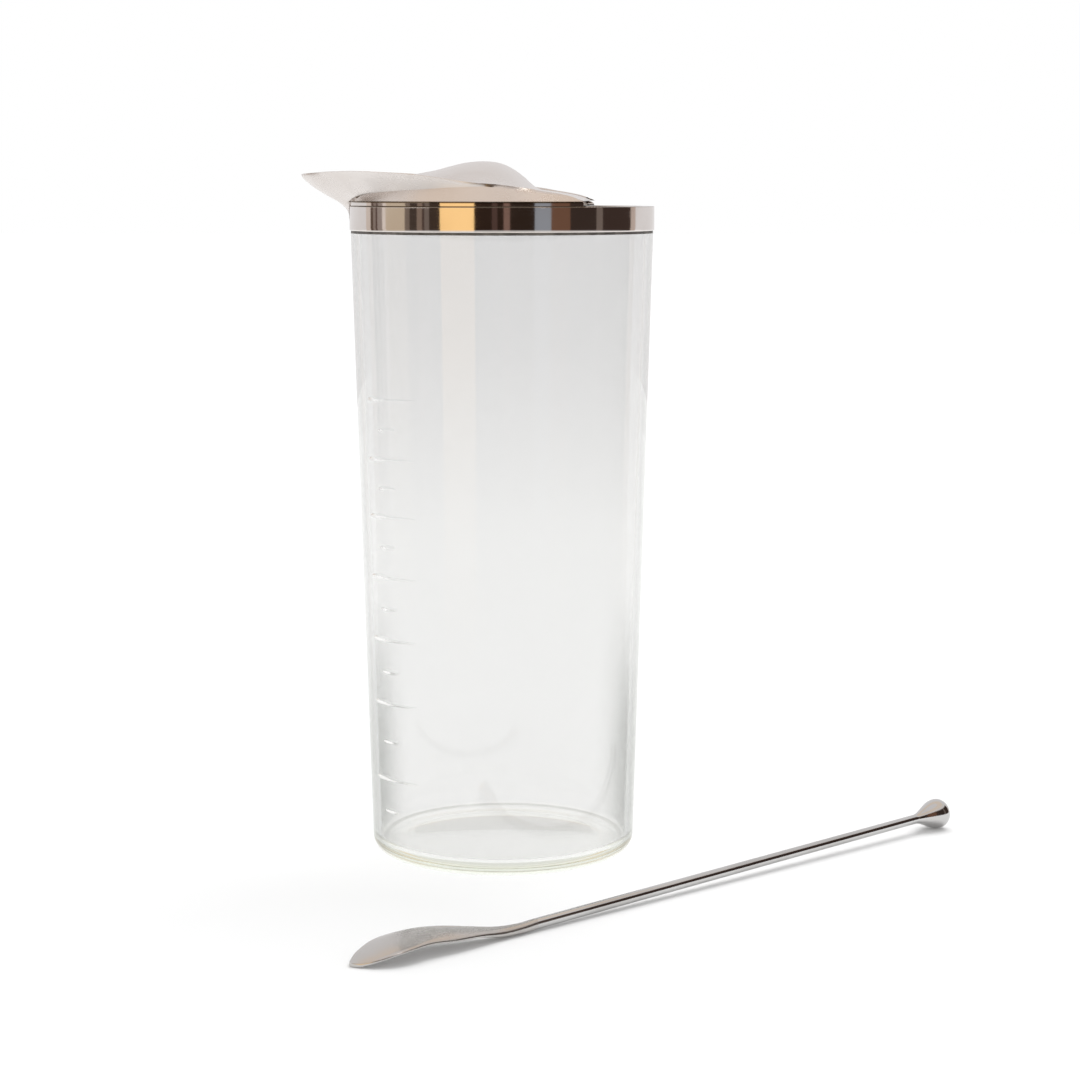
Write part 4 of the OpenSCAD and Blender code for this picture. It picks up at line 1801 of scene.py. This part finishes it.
ROOM = (
    RoomCard("left_wall_edge", -121, -114, (0.75, 0.66, 0.6), 320),
    RoomCard("left_door_frame", -114, -110.5, (0.12, 0.08, 0.06), 320),
    RoomCard("left_door", -110.5, -107, (0.3, 0.24, 0.21), 320),
    RoomCard("left_door_edge", -107, -105, (0.1, 0.06, 0.05), 320),
    RoomCard("grey_curtain", -105, -99, (0.36, 0.3, 0.27), 320),
    RoomCard("pale_curtain", -99, -95, (0.85, 0.76, 0.7), 320),
    RoomCard("beige_wall", -95, -75.5, (0.66, 0.55, 0.42), 320),
    RoomCard("grey_shelf", -75.5, -71, (0.22, 0.17, 0.14), 320),
    RoomCard("dark_shelf", -71, -64.5, (0.07, 0.05, 0.04), 320),
    RoomCard("brown_shelf", -64.5, -60, (0.27, 0.2, 0.16), 320),
    RoomCard("dark_shelf_edge", -60, -58, (0.09, 0.06, 0.05), 320),
    RoomCard("grey_shelf_edge", -58, -54, (0.2, 0.16, 0.14), 320),
    RoomCard("dark_corner", -54, -45.4, (0.06, 0.04, 0.03), 700),
    RoomCard("warm_wall", -45.4, -19.5, (1.36, 0.9, 0.4), 700),
    RoomCard("dark_room", -19.5, -6.5, (0.035, 0.02, 0.014), 1300),
    RoomCard("dim_post", -6.5, -2.5, (0.1, 0.06, 0.05), 1300),
    RoomCard("dark_gap", -2.5, 2, (0.035, 0.02, 0.014), 1300),
    RoomCard("pale_post", 2, 6.5, (0.26, 0.16, 0.13), 1300),
    RoomCard("dark_hall", 6.5, 24.6, (0.035, 0.022, 0.016), 1300),
    RoomCard("grey_window", 24.6, 37, (0.34, 0.37, 0.42), 900),
    RoomCard("brown_door", 37, 52, (0.19, 0.1, 0.065), 1300),
    RoomCard("dark_cupboard", 52, 74.5, (0.05, 0.034, 0.028), 1300),
    RoomCard("grey_post", 74.5, 80.5, (0.2, 0.16, 0.14), 1300),
    RoomCard("dark_wall", 80.5, 112, (0.055, 0.036, 0.03), 1300),
    RoomCard("right_wall_edge", 112, 119, (0.6, 0.5, 0.44), 700),
)


@dataclass
class Studio:
    """Pale floor, soft light, the room's reflections and the camera."""

    level: float = 0.66
    floor_glow: float = 0.08
    sky_power: float = 1.95
    sky_spread: float = 50.0
    sky_from: Point = (0.3, 0.8, 1.4)
    floor_half: float = 12000.0
    floor_z: float = -0.05
    floor_tone: Colour = (0.86, 0.86, 0.86)
    room_r: float = 1800.0
    wall_z: float = 2000.0
    ceiling_r: float = 1150.0
    ceiling_z: float = 2600.0
    card_step: float = 4.0
    sheen_start: float = 300.0
    sheen_end: float = 1500.0
    sheen_z: float = 0.2
    lamp_turn: float = 34.0
    lamp_rise: float = 40.0
    lamp_reach: float = 1500.0
    lamp_z: float = 220.0
    lamp_r: float = 150.0
    lamp_power: float = 7.0
    lamp_colour: Colour = (1.0, 0.98, 0.95)
    wall_colour: Colour = (0.93, 0.8, 0.69)
    low_wall_colour: Colour = (0.87, 0.82, 0.79)
    ceiling_colour: Colour = (0.87, 0.84, 0.84)
    back_colour: Colour = (0.87, 0.855, 0.86)
    lens: float = 86.47
    sensor: float = 36.0
    tilt: float = 82.25
    eye: Point = (13.0, -895.0, 231.0)

    def camera(self) -> None:
        """Places the camera at the photograph's viewing angle."""
        data = bpy.data.cameras.new("photo_camera")
        data.lens = self.lens
        data.sensor_width = self.sensor
        data.clip_end = 60
        camera = bpy.data.objects.new("photo_camera", data)
        camera.location = Vector(self.eye) * MM
        camera.rotation_euler = (math.radians(self.tilt), 0.0, 0.0)
        bpy.context.scene.collection.objects.link(camera)
        bpy.context.scene.camera = camera
        LOG.info("camera: %.2f mm lens at %s", data.lens, tuple(self.eye))

    def _shown_ray(self, w: Wiring) -> bpy.types.NodeSocket:
        """Tells the rays that show something from those that only light it.

        Args:
            w: the wiring of the material or the world.

        Returns:
            1 for rays of the camera, of gloss and of glass, and 0 for the others.
        """
        path = w.add("ShaderNodeLightPath")
        shown = w.maths("MAXIMUM", path.outputs["Is Camera Ray"], path.outputs["Is Glossy Ray"])
        return w.maths("MAXIMUM", shown, path.outputs["Is Transmission Ray"])

    def world(self) -> None:
        """White backdrop, and a plain soft level of light."""
        world = bpy.data.worlds.new("pale_studio")
        world.use_nodes = True
        w = Wiring(world.node_tree)
        back = world.node_tree.nodes["Background"]
        gap = 1.0 - self.level
        strength = w.maths("MULTIPLY_ADD", self._shown_ray(w), gap, self.level)
        w.join(strength, back.inputs["Strength"])
        back.inputs["Color"].default_value = (1.0, 1.0, 1.0, 1.0)
        bpy.context.scene.world = world

    def floor(self) -> None:
        """Pale floor that shows white and keeps the object's shadow."""
        draft = Draft()
        half, z = self.floor_half, self.floor_z
        corners = [(-half, -half, z), (half, -half, z), (half, half, z), (-half, half, z)]
        draft.face(draft.row(corners))
        floor = draft.build("pale_floor")
        material = bpy.data.materials.new("pale_floor")
        material.use_nodes = True
        w = Wiring(material.node_tree)
        shader = material.node_tree.nodes["Principled BSDF"]
        shader.inputs["Base Color"].default_value = (*self.floor_tone, 1.0)
        shader.inputs["Roughness"].default_value = 1.0
        shader.inputs["Specular IOR Level"].default_value = 0.0
        shader.inputs["Emission Color"].default_value = (1.0, 1.0, 1.0, 1.0)
        glow = w.maths("MULTIPLY", self._shown_ray(w), self.floor_glow)
        w.join(glow, shader.inputs["Emission Strength"])
        floor.data.materials.append(material)

    def _card(
        self, name: str, points: list[Point], colour: Colour, strength: float
    ) -> bpy.types.Object:
        """Adds one glowing card that only reflections see.

        Args:
            name: the card's name.
            points: its points in millimetres, a lower and an upper row joined end to end.
            colour: its colour.
            strength: its strength.

        Returns:
            The card.
        """
        draft = Draft()
        half = len(points) // 2
        numbers = draft.row(points)
        draft.bridge(numbers[:half], numbers[half:], closed=False)
        card = draft.build(name)
        material = bpy.data.materials.new(name)
        material.use_nodes = True
        w = Wiring(material.node_tree)
        material.node_tree.nodes.remove(material.node_tree.nodes["Principled BSDF"])
        glow = w.add("ShaderNodeEmission")
        glow.inputs["Color"].default_value = (*colour, 1.0)
        glow.inputs["Strength"].default_value = strength
        w.join(glow.outputs[0], material.node_tree.nodes["Material Output"].inputs["Surface"])
        card.data.materials.append(material)
        card.visible_camera = False
        card.visible_diffuse = False
        card.visible_transmission = False
        card.visible_shadow = False
        return card

    def _sheen(self, name: str, turns: list[float], colour: Colour) -> None:
        """Adds the mirror image of a strip on the glossy table, fading towards the pitcher.

        Args:
            name: the strip's name.
            turns: the strip's angles.
            colour: the strip's colour.
        """
        reaches = (self.sheen_start, self.room_r)
        rows = [(r * sind(t), -r * cosd(t), self.sheen_z) for r in reaches for t in turns]
        card = self._card(f"{name}_sheen", rows, colour, 1.0)
        w = Wiring(card.data.materials[0].node_tree)
        distance = w.add("ShaderNodeVectorMath", operation="LENGTH")
        w.join(w.add("ShaderNodeTexCoord").outputs["Object"], distance.inputs[0])
        ramp = w.add("ShaderNodeMapRange")
        w.join(distance.outputs["Value"], ramp.inputs["Value"])
        ramp.inputs["From Min"].default_value = self.sheen_start * MM
        ramp.inputs["From Max"].default_value = self.sheen_end * MM
        faded = w.mixed(ramp.outputs[0], (1.0, 1.0, 1.0), colour)
        w.join(faded, w.tree.nodes["Emission"].inputs["Color"])

    def room(self) -> None:
        """Puts the strips of the room round the table, and the walls and ceiling above them."""
        radius, wall, ceiling = self.room_r, self.wall_z, self.ceiling_z
        for card in ROOM:
            steps = max(1, round((card.end - card.start) / self.card_step))
            turns = [card.start + (card.end - card.start) * s / steps for s in range(steps + 1)]
            for name, rise, colour in (
                (card.name, (0.0, card.top), card.colour),
                (f"{card.name}_above", (card.top, wall), self.low_wall_colour),
            ):
                rows = [(radius * sind(t), -radius * cosd(t), z) for z in rise for t in turns]
                self._card(name, rows, colour, 1.0)
            self._sheen(card.name, turns, card.colour)
        turns = [float(t) for t in range(-180, 181, 6)]
        upper = [(radius * sind(t), -radius * cosd(t), wall) for t in turns]
        upper += [(self.ceiling_r * sind(t), -self.ceiling_r * cosd(t), ceiling) for t in turns]
        self._card("upper_walls", upper, self.wall_colour, 1.0)
        reaches = (self.ceiling_r, 0.0)
        middle = [(r * sind(t), -r * cosd(t), ceiling) for r in reaches for t in turns]
        self._card("pale_ceiling", middle, self.ceiling_colour, 1.0)
        turns = [float(t) for t in range(119, 240, 10)]
        back = [(radius * sind(t), -radius * cosd(t), z) for z in (0.0, wall) for t in turns]
        self._card("back_wall", back, self.back_colour, 1.0)
        self._lamp_disc()

    def _lamp_disc(self) -> None:
        """Adds the round lamp that glints on the edges of the ring and the band."""
        level = cosd(self.lamp_rise)
        direction = Vector(
            (sind(self.lamp_turn) * level, -cosd(self.lamp_turn) * level, sind(self.lamp_rise))
        )
        side = direction.cross(Vector((0, 0, 1))).normalized()
        rise = side.cross(direction).normalized()
        middle = direction * self.lamp_reach + Vector((0, 0, self.lamp_z))
        rings = []
        for radius in (0.0, self.lamp_r):
            for k in range(25):
                offset = side * (radius * cosd(15 * k)) + rise * (radius * sind(15 * k))
                rings.append(tuple(middle + offset))
        self._card("round_lamp", rings, self.lamp_colour, self.lamp_power)

    def skylight(self) -> None:
        """Adds the broad soft light from behind and above, even over the whole table."""
        data = bpy.data.lights.new("skylight", "SUN")
        data.energy = self.sky_power
        data.angle = math.radians(self.sky_spread)
        lamp = bpy.data.objects.new("skylight", data)
        lamp.location = Vector(self.sky_from)
        lamp.rotation_euler = (-lamp.location).to_track_quat("-Z", "Y").to_euler()
        lamp.visible_glossy = False
        lamp.visible_transmission = False
        bpy.context.scene.collection.objects.link(lamp)

    def build(self) -> None:
        """Builds the whole studio and sets the plain colour transform."""
        self.world()
        self.floor()
        self.room()
        self.skylight()
        bpy.context.scene.view_settings.view_transform = "Standard"


def main() -> None:
    """Builds the studio and the pitcher's sub-assemblies in order."""
    logging.basicConfig(level=logging.INFO, format="%(name)s: %(message)s")
    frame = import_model()
    studio = Studio()
    studio.camera()
    studio.build()
    effects = SharedEffects()
    # Heights and reaches of the painted shade along the seams between the pieces.
    seams = ((0.2246, 0.0003), (0.22605, 0.0004))
    silver = PolishedMetal("polished_silver", seams=seams).make(effects)
    sheet = PolishedMetal("hand_raised_silver", seams=seams, clean=0.24, smeared=0.34).make(effects)
    MeasuringGlass().dress(effects)
    CementedCollar().dress(frame, effects, silver)
    SpoutedCover().dress(frame, silver, sheet)
    StirringSpoon().dress(effects)


if __name__ == "__main__":
    main()
